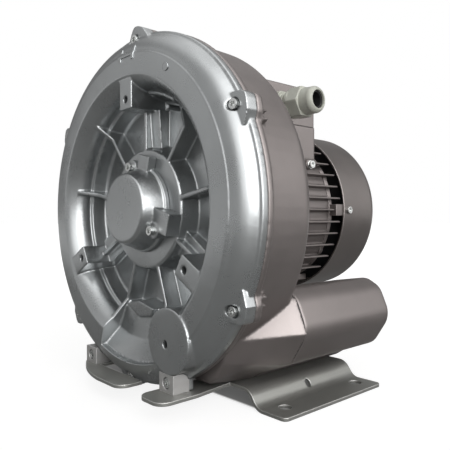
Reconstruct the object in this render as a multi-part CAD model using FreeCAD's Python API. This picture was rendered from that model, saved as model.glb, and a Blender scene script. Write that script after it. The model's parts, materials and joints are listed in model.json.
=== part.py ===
import FreeCAD, Part
import math
import os

# Side channel blower, in millimetres.
# Every function works in machine coordinates: X to the right seen from the front,
# Y backwards along the shaft from the seam between cover and housing,
# Z up from the shaft axis. save() moves each piece into the part frame, whose origin
# is the centre of the four foot holes on the mounting plane.

# Overall places
SHAFT_HEIGHT = 173.0
FOOT_SPACING_X = 255.0
FOOT_SPACING_Y = 103.0
FOOT_HOLE_RADIUS = 6.0
FOOT_CENTRE_Y = 109.0
FAR = 400.0

# Flange, its seal and the screws through its lugs
FLANGE_RADIUS = 163.0
FLANGE_LIP = 6.0
LUG_ANGLES = (29.0, 89.0, 148.0, 226.0, 268.0, 330.0)
LUG_SCREW_RADIUS = FLANGE_RADIUS - 5.0
LUG_TIP = 8.0
LUG_FRONT_Y = -11.0
LUG_SEAT_Y = -9.0
LUG_BACK_Y = 7.0
LUG_PRONG_BACK_Y = 13.0
LUG_PRONG_THICKNESS = 2.4
LUG_PRONG_DEGREES = (2.6, 5.0)
LUG_SCREW_LENGTH = 26.0
SEAL_OUTER = LUG_SCREW_RADIUS - 3.0
SEAL_INNER = SEAL_OUTER - 1.8
SEAL_DEPTH = 1.6
CHANNEL_OUTER = SEAL_INNER - 1.7
CHANNEL_ROOF = 4.6

# Cover casting
BULGE_Y = -22.0
ANNULUS_OUTER = FLANGE_RADIUS - 20.4
ANNULUS_INNER = 121.0
DISH_RADIUS = 110.0
DISH_FLOOR_RADIUS = 105.0
DISH_FLOOR_Y = 18.0
COVER_WALL = 5.0
HUB_DISC_RADIUS = 56.5
HUB_BASE_RADIUS = 61.5
RIB_COUNT = 9
RIB_FIRST_ANGLE = 10.0
RIB_THICKNESS = 4.0
PAD_ANGLES = (90.0, 210.0, 330.0)
PAD_RADIUS = 101.5
PAD_WIDTH = 20.0
PAD_HOLE_RADIUS = 3.4
PAD_HOLE_DEPTH = 16.0
PAD_RIB_FROM = 10.0
PAD_RIB_TO = -16.0
PAD_RIB_OUTER_Y = 6.0
PAD_RIB_INNER_Y = 9.0
BOSS_ANGLE = 302.0
BOSS_CENTRE_RADIUS = 131.0
BOSS_RADIUS = 28.0
BOSS_HOLE_ANGLE = 300.0
BOSS_HOLE_CENTRE_RADIUS = 132.0
BEAD_RADIUS = 2.6
BEAD_START = 61.0
BEAD_END = 83.0
GAP_START = 251.0
GAP_END = 289.0
CHANNEL_END_ANGLE = 4.0

# Housing casting
HOUSING_RADIUS = FLANGE_RADIUS - 5.0
HOUSING_DEPTH = 61.0
CHANNEL_BACK_Y = 57.0
FILL_ROOT_RADIUS = 112.0
MOTOR_RING_OUTER = 84.0
MOTOR_RING_INNER = 62.0
MOTOR_FACE_Y = 62.0
MOTOR_SCREW_CIRCLE = 76.5
BACK_RIB_COUNT = 12

# Screws: shank, head radius and head height of the socket head sizes in use
M3 = (1.5, 2.8, 2.0)
M4 = (2.0, 3.8, 2.8)
M5 = (2.5, 4.2, 4.5)
M8 = (4.0, 6.5, 6.0)
HOLE_SLACK = 0.3
HEAD_SLACK = 0.9
THREAD_CLEARANCE = 0.05

# Impeller
IMPELLER_RADIUS = CHANNEL_OUTER - 3.5
IMPELLER_RIM_INNER = 115.0
IMPELLER_RIM_OUTER = 119.0
IMPELLER_FRONT_Y = 8.0
IMPELLER_BACK_Y = 34.0
WEB_FRONT_Y = 25.0
WEB_BACK_Y = 31.0
VANE_COUNT = 36
VANE_THICKNESS = 2.4
RUNNING_GAP = 0.6
IMPELLER_HUB_RADIUS = 24.0
IMPELLER_HUB_BACK_Y = 46.0

# Shaft, seats and bearings
SHAFT_TIP_Y = 0.5
SHAFT_WASHER_THICKNESS = 2.5
JOURNAL_RADIUS = 12.5
IMPELLER_SEAT_RADIUS = 14.0
SEAL_SEAT_RADIUS = 15.5
ROTOR_SEAT_RADIUS = 18.0
FAN_SEAT_RADIUS = 10.0
SHAFT_END_Y = 236.0
BEARING_RADIUS = 26.0
BEARING_WIDTH = 15.0
BEARING_PITCH_RADIUS = 19.5
BEARING_OUTER_LAND = 22.3
BEARING_INNER_LAND = 16.6
BALL_RADIUS = 3.8
BALL_GROOVE_RADIUS = 4.1
BALL_COUNT = 9
POCKET_SLACK = 0.15
CAGE_THICKNESS = 1.6
CAGE_WIDTH = 10.0
BEARING_SHOULDER_RADIUS = 22.5
FRONT_BEARING_Y = 0.0
REAR_BEARING_Y = 182.0

# Bearing cap
CAP_FACE_RADIUS = 30.5
CAP_RIDGE_RADIUS = 33.0
CAP_BASE_RADIUS = 40.5
CAP_FACE_Y = -24.4
# Angle, radius and head seat of each screw of the cap
CAP_SCREWS = ((106.0, 42.0, -7.0), (219.0, 42.0, -7.0), (331.0, 40.5, -15.0))
# Angle, inner and outer radius, width and front of each block on the cap
CAP_BLOCKS = ((76.0, 37.0, 51.0, 17.0, -9.0), (345.0, 40.0, 58.0, 20.0, -14.0),
              (200.0, 36.0, 50.0, 17.0, -9.0))

# Motor
MOTOR_BODY_RADIUS = 79.0
MOTOR_NECK_RADIUS = 73.0
MOTOR_NECK_END_Y = 90.0
MOTOR_BORE_RADIUS = 67.0
FIN_RADIUS = 87.0
FIN_PITCH = 12.5
FIN_THICKNESS = 2.2
MOTOR_BACK_Y = 182.0
FIN_END_Y = 193.6
STATOR_FRONT_Y = 84.0
STATOR_BACK_Y = 154.0
STATOR_BORE_RADIUS = 36.5
ROTOR_RADIUS = 36.0
SLOT_COUNT = 24
WINDING_OVERHANG = 15.0
SHIELD_FLANGE_Y = 188.0
SHIELD_SCREW_CIRCLE = 73.0
EAR_HALF_WIDTH = 6.0

# Fan and cowl
COWL_RADIUS = 89.8
COWL_FRONT_Y = 194.7
COWL_BACK_Y = 258.0
COWL_SHEET = 1.6
COWL_CORNER = 12.0
COWL_SCREW_Y = 202.5
EAR_ANGLES = (0.0, 90.0, 180.0, 270.0)
FAN_RADIUS = 80.0
FAN_FRONT_Y = 212.0
FAN_BACK_Y = 240.0
FAN_BLADES = 8

# Terminal box and gland
BOX_HALF_X = 72.0
BOX_FRONT_Y = 66.0
BOX_BACK_Y = 167.0
BOX_BOTTOM_Z = 87.0
PEDESTAL_LOW_Z = 53.0
EARTH_SCREW_Y = 149.5
EARTH_SCREW_Z = 46.5
EARTH_BOSS_X = 80.0
EARTH_BOSS_RADIUS = 5.2
BOX_SPLIT_Z = 113.0
BOX_TOP_Z = 126.5
BOX_WALL = 3.5
BOX_FLOOR = 1.8
GASKET_THICKNESS = 1.5
GLAND_Y = 106.0
GLAND_Z = 100.0
GLAND_BORE_RADIUS = 7.0
GLAND_MOUTH_RADIUS = 8.4
GLAND_THREAD_RADIUS = 10.0
GLAND_HEX_AF = 27.0
GLAND_NECK_RADIUS = 9.8
GLAND_DOME_RADIUS = 12.6
GLAND_NECK_END = 32.0
GLAND_CAP_START = 22.0
GLAND_CAP_LENGTH = 31.0
LOCKNUT_AF = 2 * (GLAND_Z - BOX_BOTTOM_Z - BOX_FLOOR - 0.2)
BOX_CORNER = 3.2

# Silencers and ports
SILENCER_BACK_Y = 193.0
SILENCER_WALL = 4.0
JOINT_GASKET = 1.0
SILENCER_INNER_X = 14.0
SILENCER_WIDEST_X = 149.0
SILENCER_TOP_Z = -69.0
SILENCER_CORNERS = (7.0, 8.0, 14.0, 12.0, 14.0, 18.0, 22.0, 16.0, 6.0, 7.0)
SILENCER_REAR_FILLET = 6.0
PORT_X = 64.0
PORT_Z = -121.0
PORT_THREAD_RADIUS = 23.9
PORT_NECK_RADIUS = 29.0
PORT_PLATE_HALF_X = 33.0
PORT_PLATE_HALF_Z = 20.5
PORT_PLATE_THICKNESS = 7.0
PORT_NECK_LENGTH = 22.0
SILENCER_FEET = ((36.0, 78.0), (70.0, 165.0))
FOAM_THICKNESS = 6.0
TUBE_RADIUS = 18.0
TUBE_WALL = 1.2

# Base plate and front brackets
PLATE_THICKNESS = 3.0
PLATE_TOP = 17.5
PLATE_HALF_WIDTH = 146.0
PLATE_BEND_OUT = 114.5
PLATE_BEND_IN = 104.0
PLATE_BEND_RADIUS = 11.0
PLATE_CORNER = 5.0
PLATE_SIDE_HOLE_RADIUS = 3.4
PLATE_SIDE_HOLE_HEIGHT = 9.0
PLATE_FRONT_Y = 37.0
PLATE_BACK_Y = 177.0
TONGUE_FRONT_Y = -43.0
TONGUE_HALF_WIDTH = 86.0
TONGUE_BACK_HALF_WIDTH = 80.0
WINDOW_HALF_X = 52.0
WINDOW_FRONT_Y = -19.0
WINDOW_BACK_Y = 33.0
HOUSING_SLOT_HALF_X = 34.0
NOTCH_X = 24.0
BRACKET_X = 65.0
BRACKET_WIDTH = 20.0
BRACKET_HEIGHT = 16.0
BRACKET_SCREW_HEIGHT = 8.0
BRACKET_FRONT_Y = -22.0
BRACKET_BACK_Y = -5.0

PLATE_TOP_Z = PLATE_TOP - SHAFT_HEIGHT
LUG_LOWEST_Z = -167.0

# Front outline of a duct in XZ, point for point with the silencer outline
DUCT_FRONT_PROFILE = ((14.0, -150.5), (14.0, -112.0), (52.0, -104.0), (80.0, -92.0), (98.0, -88.0),
                      (106.0, -96.0), (110.0, -110.0), (102.0, -130.0), (92.0, -145.0), (84.0, -150.5))

# Silencer outline in XZ, from the inner lower corner round over the top
SILENCER_PROFILE = ((SILENCER_INNER_X, PLATE_TOP_Z), (SILENCER_INNER_X, -106.0), (52.0, -98.0),
                    (84.0, SILENCER_TOP_Z - 6), (122.0, SILENCER_TOP_Z), (137.0, SILENCER_TOP_Z - 8),
                    (SILENCER_WIDEST_X, -105.0), (131.0, PLATE_TOP_Z + 22), (94.0, PLATE_TOP_Z + 6.5),
                    (84.0, PLATE_TOP_Z))
ORIGIN = FreeCAD.Vector(0, 0, 0)
ALONG_X = FreeCAD.Vector(1, 0, 0)
ALONG_Y = FreeCAD.Vector(0, 1, 0)
ALONG_Z = FreeCAD.Vector(0, 0, 1)


def vec(x, y, z):
    return FreeCAD.Vector(x, y, z)


def polar(radius, angle, y=0.0):
    a = math.radians(angle)
    return vec(radius * math.cos(a), y, radius * math.sin(a))


def circle_places(radius, angles):
    """(x, z) places on a circle about the shaft axis."""
    places = [polar(radius, angle) for angle in angles]
    return [(at.x, at.z) for at in places]


def block(x0, x1, y0, y1, z0, z1):
    return Part.makeBox(x1 - x0, y1 - y0, z1 - z0, vec(x0, y0, z0))


def rod(radius, y0, y1, centre=None):
    """Cylinder along Y between two Y values."""
    centre = centre or ORIGIN
    return Part.makeCylinder(radius, y1 - y0, vec(centre.x, y0, centre.z), ALONG_Y)


def tube(outer, inner, y0, y1, centre=None):
    return rod(outer, y0, y1, centre).cut(rod(inner, y0 - 1, y1 + 1, centre))


def post(radius, x, y, z0, z1):
    """Cylinder along Z."""
    return Part.makeCylinder(radius, z1 - z0, vec(x, y, z0), ALONG_Z)


def spindle(radius, x0, x1, y, z):
    """Cylinder along X."""
    return Part.makeCylinder(radius, x1 - x0, vec(x0, y, z), ALONG_X)


def profile_wire(steps, plane):
    """Closed wire of lines and three-point arcs.

    A step is a point (a, b), or a pair (middle, end) for an arc.
    """
    points = []
    for step in steps:
        if isinstance(step[0], tuple):
            points.append((plane(*step[0]), plane(*step[1])))
        else:
            points.append((None, plane(*step)))
    edges = []
    start = points[0][1]
    current = start
    for middle, end in points[1:]:
        if middle is None:
            edges.append(Part.LineSegment(current, end).toShape())
        else:
            edges.append(Part.Arc(current, middle, end).toShape())
        current = end
    if current.distanceToPoint(start) > 1e-6:
        edges.append(Part.LineSegment(current, start).toShape())
    return Part.Wire(edges)


def turned(steps):
    """Solid of revolution about the shaft axis from (radius, y) steps."""
    wire = profile_wire(steps, lambda r, y: vec(r, y, 0))
    return Part.Face(wire).revolve(ORIGIN, ALONG_Y, 360)


def prism_y(points, y0, y1):
    """Straight body along Y from (x, z) points."""
    corners = [vec(x, y0, z) for x, z in points]
    wire = Part.makePolygon(corners + [corners[0]])
    return Part.Face(wire).extrude(vec(0, y1 - y0, 0))


def rounded_wire(points, radii, y):
    """Closed wire in the XZ plane, each corner rounded, or sharp where its radius is zero."""
    count = len(points)
    edges = []
    ends = []
    for i, (x, z) in enumerate(points):
        here = vec(x, y, z)
        before = vec(points[i - 1][0], y, points[i - 1][1])
        after = vec(points[(i + 1) % count][0], y, points[(i + 1) % count][1])
        to_before = (before - here).normalize()
        to_after = (after - here).normalize()
        half = to_before.getAngle(to_after) / 2
        radius = radii[i]
        reach = radius / math.tan(half)
        p0 = here + to_before * reach
        p1 = here + to_after * reach
        bisector = (to_before + to_after).normalize()
        middle = here + bisector * (radius / math.sin(half) - radius)
        ends.append((p0, middle, p1))
    for i, (p0, middle, p1) in enumerate(ends):
        if radii[i] > 0:
            edges.append(Part.Arc(p0, middle, p1).toShape())
        edges.append(Part.LineSegment(p1, ends[(i + 1) % count][0]).toShape())
    return Part.Wire(edges)


def rounded_prism(points, radii, y0, y1):
    return Part.Face(rounded_wire(points, radii, y0)).extrude(vec(0, y1 - y0, 0))


def inset_prism(points, radii, inset, y0, y1):
    """Rounded prism whose outline lies inset millimetres inside the given one."""
    face = Part.Face(rounded_wire(points, radii, y0)).makeOffset2D(-inset)
    return face.extrude(vec(0, y1 - y0, 0))


def mirrored(points):
    """Outline on the other side of the YZ plane, in the same turning direction."""
    return tuple((-x, z) for x, z in reversed(points))


def turn(shape, angle):
    """Copy turned about the shaft axis, counter-clockwise seen from the front."""
    copy = shape.copy()
    copy.rotate(ORIGIN, ALONG_Y, -angle)
    return copy


def sector(radius, a0, a1, y0, y1):
    """Wedge of a disc between two angles."""
    arc_mid = polar(radius, (a0 + a1) / 2, y0)
    edges = [Part.LineSegment(vec(0, y0, 0), polar(radius, a0, y0)).toShape(),
             Part.Arc(polar(radius, a0, y0), arc_mid, polar(radius, a1, y0)).toShape(),
             Part.LineSegment(polar(radius, a1, y0), vec(0, y0, 0)).toShape()]
    return Part.Face(Part.Wire(edges)).extrude(vec(0, y1 - y0, 0))


def fuse_all(shapes):
    return shapes[0].multiFuse(shapes[1:]).removeSplitter()


def hexagon_x(af, x0, x1, y, z):
    """Hexagonal bar along X."""
    corner = af / math.sqrt(3)
    turns = [math.radians(60 * k) for k in range(6)]
    points = [vec(x0, y + corner * math.cos(a), z + corner * math.sin(a)) for a in turns]
    wire = Part.makePolygon(points + [points[0]])
    return Part.Face(wire).extrude(vec(x1 - x0, 0, 0))


def cap_screw(head_point, direction, length, size):
    """Socket head screw: the head stands on head_point and the shank runs along direction."""
    radius, head, height = size
    axis = vec(*direction)
    body = Part.makeCylinder(head, height, head_point, axis * -1)
    socket = Part.makeCylinder(head * 0.5, height * 0.6, head_point - axis * height, axis)
    shank = Part.makeCylinder(radius, length, head_point, axis)
    return body.cut(socket).fuse(shank)


def save(name, *shapes):
    """Write one node, moved from machine coordinates into the part frame."""
    solids = [solid for shape in shapes for solid in shape.Solids]
    node = solids[0] if len(solids) == 1 else Part.makeCompound(solids)
    node = node.copy()
    node.translate(vec(0, -FOOT_CENTRE_Y, SHAFT_HEIGHT))
    node.exportStep(os.path.join("parts", name + ".step"))
    print(name, len(solids), "valid" if node.isValid() else "INVALID", round(node.Volume / 1000, 1), "cm3")


# Front cover

def cover_body():
    back = COVER_WALL + DISH_FLOOR_Y
    ring = IMPELLER_RIM_INNER - RUNNING_GAP
    return turned((
        (FLANGE_RADIUS, 0),
        (FLANGE_RADIUS, -FLANGE_LIP),
        (FLANGE_RADIUS - 3, -FLANGE_LIP - 1.2),
        ((FLANGE_RADIUS - 9.4, -16.2), (ANNULUS_OUTER, BULGE_Y + 1.2)),
        (ANNULUS_OUTER, BULGE_Y),
        (ANNULUS_INNER + 2, BULGE_Y - 0.6),
        ((113.4, -13.0), (DISH_RADIUS, 2)),
        (DISH_RADIUS - 3, 2),
        (DISH_FLOOR_RADIUS, DISH_FLOOR_Y - 3),
        ((DISH_FLOOR_RADIUS - 1, DISH_FLOOR_Y - 1), (DISH_FLOOR_RADIUS - 3, DISH_FLOOR_Y)),
        (HUB_BASE_RADIUS, DISH_FLOOR_Y),
        (HUB_DISC_RADIUS + 0.5, 1.5),
        (HUB_DISC_RADIUS - 1, 0),
        (BEARING_RADIUS, 0),
        (BEARING_RADIUS, BEARING_WIDTH),
        (BEARING_SHOULDER_RADIUS, BEARING_WIDTH),
        (BEARING_SHOULDER_RADIUS, BEARING_WIDTH + 3),
        (JOURNAL_RADIUS + 4.5, BEARING_WIDTH + 3),
        (JOURNAL_RADIUS + 4.5, back),
        (ring, back),
        (ring, IMPELLER_FRONT_Y - RUNNING_GAP),
        ((ring + 5.1, -11.5), (ring + 13.6, BULGE_Y + CHANNEL_ROOF)),
        (CHANNEL_OUTER - 12.5, BULGE_Y + CHANNEL_ROOF),
        ((CHANNEL_OUTER - 4.5, -12.0), (CHANNEL_OUTER, -1)),
        (CHANNEL_OUTER, 0),
    ))


def cover_envelope(gap):
    """Everything that the front of the cover fills, grown by a gap."""
    rim = FLANGE_RADIUS + gap
    return turned((
        (0, -BRACKET_BACK_Y), (rim, -BRACKET_BACK_Y), (rim, -FLANGE_LIP - gap),
        (rim - 3, -FLANGE_LIP - 1.2 - gap),
        ((rim - 9.4, -16.2 - gap), (ANNULUS_OUTER + gap, BULGE_Y + 1.2 - gap)),
        (ANNULUS_OUTER + gap, BULGE_Y - gap), (0, BULGE_Y - gap)))


def dish_rib(angle, thickness):
    """Radial rib from the channel wall to the hub, with a knee in its top edge."""
    root = HUB_DISC_RADIUS - 4
    floor = DISH_FLOOR_Y + COVER_WALL / 2
    steps = ((root, 0.6), (DISH_RADIUS - 16, 0.6), (ANNULUS_INNER + 4, BULGE_Y + 0.8),
             (ANNULUS_INNER + 4, BULGE_Y + 3), (DISH_RADIUS + 2, 0), (DISH_FLOOR_RADIUS + 2, floor),
             (root, floor))
    wire = profile_wire(steps, lambda r, y: vec(r, y, -thickness / 2))
    plate = Part.Face(wire).extrude(vec(0, 0, thickness))
    return turn(plate, angle)


def mounting_pad(angle):
    """Block on the channel wall, tapped from the front, for fixing the blower by its face."""
    half = PAD_WIDTH / 2
    tip = ANNULUS_INNER + 1
    root = PAD_RADIUS - 9
    floor = DISH_FLOOR_Y + COVER_WALL / 2
    steps = ((root, BULGE_Y + 1), (tip, BULGE_Y + 1), (tip, BULGE_Y + 4), (DISH_RADIUS + 2, 0),
             (DISH_FLOOR_RADIUS + 2, floor), (root, floor))
    wire = profile_wire(steps, lambda r, y: vec(r, y, -half))
    body = Part.Face(wire).extrude(vec(0, 0, PAD_WIDTH))
    hole = Part.makeCylinder(PAD_HOLE_RADIUS, PAD_HOLE_DEPTH, vec(PAD_RADIUS, BULGE_Y + 1, 0), ALONG_Y)
    return turn(body, angle), turn(hole, angle)


def pad_rib(angle):
    """Wide low rib from a mounting pad to the hub."""
    outer = PAD_RADIUS - 8
    inner = HUB_DISC_RADIUS - 4
    floor = DISH_FLOOR_Y + COVER_WALL / 2
    steps = ((inner, PAD_RIB_INNER_Y), (outer, PAD_RIB_OUTER_Y), (outer, floor), (inner, floor))
    wire = profile_wire(steps, lambda r, y: vec(r, y, PAD_RIB_TO))
    return turn(Part.Face(wire).extrude(vec(0, 0, PAD_RIB_FROM - PAD_RIB_TO)), angle)


def dish_bead():
    """Cast bead along the top of the dish wall, with the small post at its side."""
    ring = Part.makeTorus(DISH_RADIUS - 0.6, BEAD_RADIUS, vec(0, -2, 0), ALONG_Y)
    bead = ring.common(sector(FLANGE_RADIUS, BEAD_START, BEAD_END, -20, 20))
    post_at = vec(37, 0, 92)
    return [bead, rod(BEAD_RADIUS, 0, DISH_FLOOR_Y + 1, post_at)]


def interrupter_cut():
    """Space taken out of the bulge between the two channel ends."""
    y_lip = BULGE_Y + 5
    steps = ((95, 3), (101, 0), (124, -3), (ANNULUS_OUTER - 1, y_lip), (ANNULUS_OUTER + 1, BULGE_Y - 6),
             (90, BULGE_Y - 6), (90, 3))
    wire = profile_wire(steps, lambda r, y: vec(r, y, 0))
    wedge = Part.Face(wire).revolve(ORIGIN, ALONG_Y, GAP_END - GAP_START)
    return turn(wedge, GAP_END)


def interrupter_fill():
    """Solid bridge that closes the front channel between inlet and outlet."""
    steps = ((96, DISH_FLOOR_Y + 2), (96, 4), (101, 0), (124, -3), (ANNULUS_OUTER - 2, BULGE_Y + 7),
             (154, -6), (155, 0), (CHANNEL_OUTER - RUNNING_GAP, 0),
             (CHANNEL_OUTER - RUNNING_GAP, IMPELLER_FRONT_Y - RUNNING_GAP),
             (IMPELLER_RIM_INNER - RUNNING_GAP, IMPELLER_FRONT_Y - RUNNING_GAP),
             (IMPELLER_RIM_INNER - RUNNING_GAP, DISH_FLOOR_Y + 2))
    wire = profile_wire(steps, lambda r, y: vec(r, y, 0))
    wedge = Part.Face(wire).revolve(ORIGIN, ALONG_Y, GAP_END - GAP_START)
    return turn(wedge, GAP_END)


def channel_end(a0, a1):
    """Solid wall across the front channel where it stops at the interrupter."""
    ring = IMPELLER_RIM_INNER - RUNNING_GAP
    roof = BULGE_Y + CHANNEL_ROOF - 1
    steps = ((ring - 0.6, 0), ((ring + 4.2, -12.2), (ring + 13.2, roof)), (CHANNEL_OUTER - 12.2, roof),
             ((CHANNEL_OUTER - 3.6, -12.6), (CHANNEL_OUTER + 0.8, 0)))
    wire = profile_wire(steps, lambda r, y: vec(r, y, 0))
    wall = Part.Face(wire).revolve(ORIGIN, ALONG_Y, a1 - a0)
    return turn(wall, a1)


def interrupter_step():
    """Flat cast step in the middle of the interrupter."""
    return prism_y(((-30, -93), (-6, -103), (14, -100), (18, -93), (-6, -88)), -3, DISH_FLOOR_Y)


def lug_outline(hand):
    """Outline (radius, degrees off the screw) of a lug; hand says which side its wedge runs to."""
    places = ((-12, -7.0), (-3.5, -7.0), (LUG_TIP - 3, -3.6), (LUG_TIP - 0.4, -0.8), (LUG_TIP, 0.6),
              (LUG_TIP - 2.6, 1.9), (-2.5, 3.6), (-12, 4.0))
    points = []
    for over, degrees in places:
        at = polar(FLANGE_RADIUS + over, -hand * degrees)
        points.append((at.x, at.z))
    return points if hand > 0 else list(reversed(points))


def wedge_hand(angle):
    """The wedges on the upper left and lower right run counter-clockwise, the others clockwise."""
    return 1 if math.cos(math.radians(angle)) * math.sin(math.radians(angle)) < 0 else -1


def flange_lug(angle, y0, y1):
    """Wedge-shaped lug on the rim, with its base sunk into the wall."""
    body = turn(prism_y(lug_outline(wedge_hand(angle)), y0, y1), angle)
    return body.cut(block(-FAR, FAR, -FAR, FAR, -FAR, LUG_LOWEST_Z))


def lug_prongs(angle):
    """Two thin prongs behind the wedge of a housing lug."""
    hand = wedge_hand(angle)
    prongs = []
    for degrees in LUG_PRONG_DEGREES:
        plate = block(HOUSING_RADIUS - 2, FLANGE_RADIUS + LUG_TIP - 3.4 - 0.6 * degrees, LUG_BACK_Y - 1,
                      LUG_PRONG_BACK_Y, -LUG_PRONG_THICKNESS / 2, LUG_PRONG_THICKNESS / 2)
        prongs.append(turn(plate, angle + hand * degrees))
    return [prong.cut(block(-FAR, FAR, -FAR, FAR, -FAR, LUG_LOWEST_Z)) for prong in prongs]


def front_cover():
    inside = rod(FLANGE_RADIUS - 7, -FAR, FAR)
    solids = [cover_body()]
    angles = [RIB_FIRST_ANGLE + k * 360 / RIB_COUNT for k in range(RIB_COUNT)]
    solids += [dish_rib(angle, RIB_THICKNESS) for angle in angles]
    pads = [mounting_pad(angle) for angle in PAD_ANGLES]
    solids += [pad for pad, hole in pads]
    solids += [pad_rib(angle) for angle in PAD_ANGLES]
    solids += [flange_lug(angle, LUG_FRONT_Y, 0).cut(inside) for angle in LUG_ANGLES]
    solids += dish_bead()
    solids.append(cover_feet())
    cover = fuse_all(solids)
    ends = [channel_end(GAP_START - CHANNEL_END_ANGLE, GAP_START + 0.2),
            channel_end(GAP_END - 0.2, GAP_END + CHANNEL_END_ANGLE)]
    cover = cover.multiFuse(ends).cut(interrupter_cut()).multiFuse([interrupter_fill(), interrupter_step()])
    boss_centre = polar(BOSS_CENTRE_RADIUS, BOSS_ANGLE)
    cover = cover.fuse(rod(BOSS_RADIUS, BULGE_Y - 2, -4, boss_centre))
    cuts = [hole for pad, hole in pads]
    cuts.append(rod(PAD_HOLE_RADIUS, BULGE_Y - 3, BULGE_Y + PAD_HOLE_DEPTH,
                    polar(BOSS_HOLE_CENTRE_RADIUS, BOSS_HOLE_ANGLE)))
    shank, head, height = M5
    for angle in LUG_ANGLES:
        at = polar(LUG_SCREW_RADIUS, angle)
        cuts.append(rod(shank + HOLE_SLACK, LUG_SEAT_Y - 1, 1, at))
        cuts.append(rod(head + HEAD_SLACK, -FAR, LUG_SEAT_Y, at))
    for angle, radius, seat in CAP_SCREWS:
        cuts.append(rod(shank + THREAD_CLEARANCE, -1, BEARING_WIDTH - 2, polar(radius, angle)))
    for side in (-1, 1):
        cuts.append(bracket_screw_hole(side))
    return cover.cut(Part.makeCompound(cuts)).removeSplitter()


def cover_feet():
    """Two small feet at the bottom of the cover flange that meet the brackets."""
    feet = []
    for side in (-1, 1):
        x = side * BRACKET_X
        foot = block(x - BRACKET_WIDTH / 2, x + BRACKET_WIDTH / 2, BRACKET_BACK_Y, 0,
                     PLATE_TOP_Z + 0.5, -135)
        feet.append(foot)
    return feet[0].fuse(feet[1])


def bracket_screw_hole(side):
    at = vec(side * BRACKET_X, 0, PLATE_TOP_Z + BRACKET_SCREW_HEIGHT)
    return rod(M5[0] + THREAD_CLEARANCE, BRACKET_FRONT_Y, -0.4, at)


# Blower housing

def housing_body():
    ring = IMPELLER_RIM_INNER - RUNNING_GAP
    floor = WEB_BACK_Y + RUNNING_GAP
    return turned((
        (FLANGE_RADIUS, 0),
        (FLANGE_RADIUS, FLANGE_LIP),
        (HOUSING_RADIUS + 0.6, FLANGE_LIP + 1.5),
        (HOUSING_RADIUS - 1, HOUSING_DEPTH - 11),
        ((HOUSING_RADIUS - 4.5, HOUSING_DEPTH - 3.2), (HOUSING_RADIUS - 13, HOUSING_DEPTH)),
        (124, HOUSING_DEPTH),
        ((114, HOUSING_DEPTH - 6), (110, HOUSING_DEPTH - 14)),
        (109, 40),
        (MOTOR_RING_OUTER, 40),
        (MOTOR_RING_OUTER, MOTOR_FACE_Y),
        (MOTOR_RING_INNER, MOTOR_FACE_Y),
        (MOTOR_RING_INNER, IMPELLER_HUB_BACK_Y + 10),
        (20, IMPELLER_HUB_BACK_Y + 10),
        (20, IMPELLER_HUB_BACK_Y + 3),
        (SEAL_SEAT_RADIUS + 1, IMPELLER_HUB_BACK_Y + 3),
        (SEAL_SEAT_RADIUS + 1, IMPELLER_HUB_BACK_Y + 1),
        (IMPELLER_HUB_RADIUS + 2, IMPELLER_HUB_BACK_Y + 1),
        (IMPELLER_HUB_RADIUS + 2, floor),
        (ring, floor),
        (ring, 40),
        ((ring + 3.6, 51), (ring + 11.6, CHANNEL_BACK_Y)),
        (CHANNEL_OUTER - 9.5, CHANNEL_BACK_Y),
        ((CHANNEL_OUTER - 3, CHANNEL_BACK_Y - 3), (CHANNEL_OUTER, CHANNEL_BACK_Y - 9)),
        (CHANNEL_OUTER, 0),
    ))


def duct_outline(reach):
    """Outer outline of the duct; reach slides its outer side from the housing to the silencer."""
    points = []
    for (x0, z0), (x1, z1) in zip(DUCT_FRONT_PROFILE, SILENCER_PROFILE):
        points.append((x0 + (x1 - x0) * reach, z0 + (z1 - z0) * reach))
    return points


def duct(side, inset=0.0):
    """Duct from the channel to the silencer joint, as a loft of three outlines."""
    wires = []
    y_end = HOUSING_DEPTH
    for y, reach in ((9.0 + inset, 0.0), (y_end - 9, 0.86), (y_end + (1.0 if inset else 0.0), 1.0)):
        points = duct_outline(reach)
        if side < 0:
            points = mirrored(points)
        corners = [vec(x, y, z) for x, z in points]
        wire = Part.makePolygon(corners + [corners[0]])
        if inset:
            wire = Part.Face(wire).makeOffset2D(-inset, 2).OuterWire
        wires.append(wire)
    return Part.makeLoft(wires, True, True)


def blower_housing():
    solids = [housing_body()]
    for side in (-1, 1):
        solids.append(duct(side).cut(rod(CHANNEL_OUTER + 1, 0, FAR)))
    inside = rod(HOUSING_RADIUS - 2, -FAR, FAR)
    for angle in LUG_ANGLES:
        for piece in [flange_lug(angle, 0, LUG_BACK_Y)] + lug_prongs(angle):
            solids.append(piece.cut(inside))
    for k in range(BACK_RIB_COUNT):
        rib = block(MOTOR_RING_OUTER - 2, IMPELLER_RIM_INNER + 3, 39, HOUSING_DEPTH - 4, -2, 2)
        solids.append(turn(rib, (k + 0.5) * 360 / BACK_RIB_COUNT))
    body = fuse_all(solids)
    hollows = []
    for side in (-1, 1):
        hollows.append(duct(side, 4.0).cut(rod(CHANNEL_OUTER - 3, -5, CHANNEL_BACK_Y)))
    body = body.cut(Part.makeCompound(hollows))
    body = body.fuse(interrupter_back())
    cuts = [tube(SEAL_OUTER, SEAL_INNER, -1, SEAL_DEPTH)]
    for angle in LUG_ANGLES:
        depth = LUG_SCREW_LENGTH + LUG_SEAT_Y + 2
        cuts.append(rod(M5[0] + THREAD_CLEARANCE, -1, depth, polar(LUG_SCREW_RADIUS, angle)))
    for x, z in motor_screw_places():
        cuts.append(rod(M5[0] + THREAD_CLEARANCE, MOTOR_FACE_Y - 14, MOTOR_FACE_Y + 1, vec(x, 0, z)))
    return body.cut(Part.makeCompound(cuts)).removeSplitter()


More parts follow.
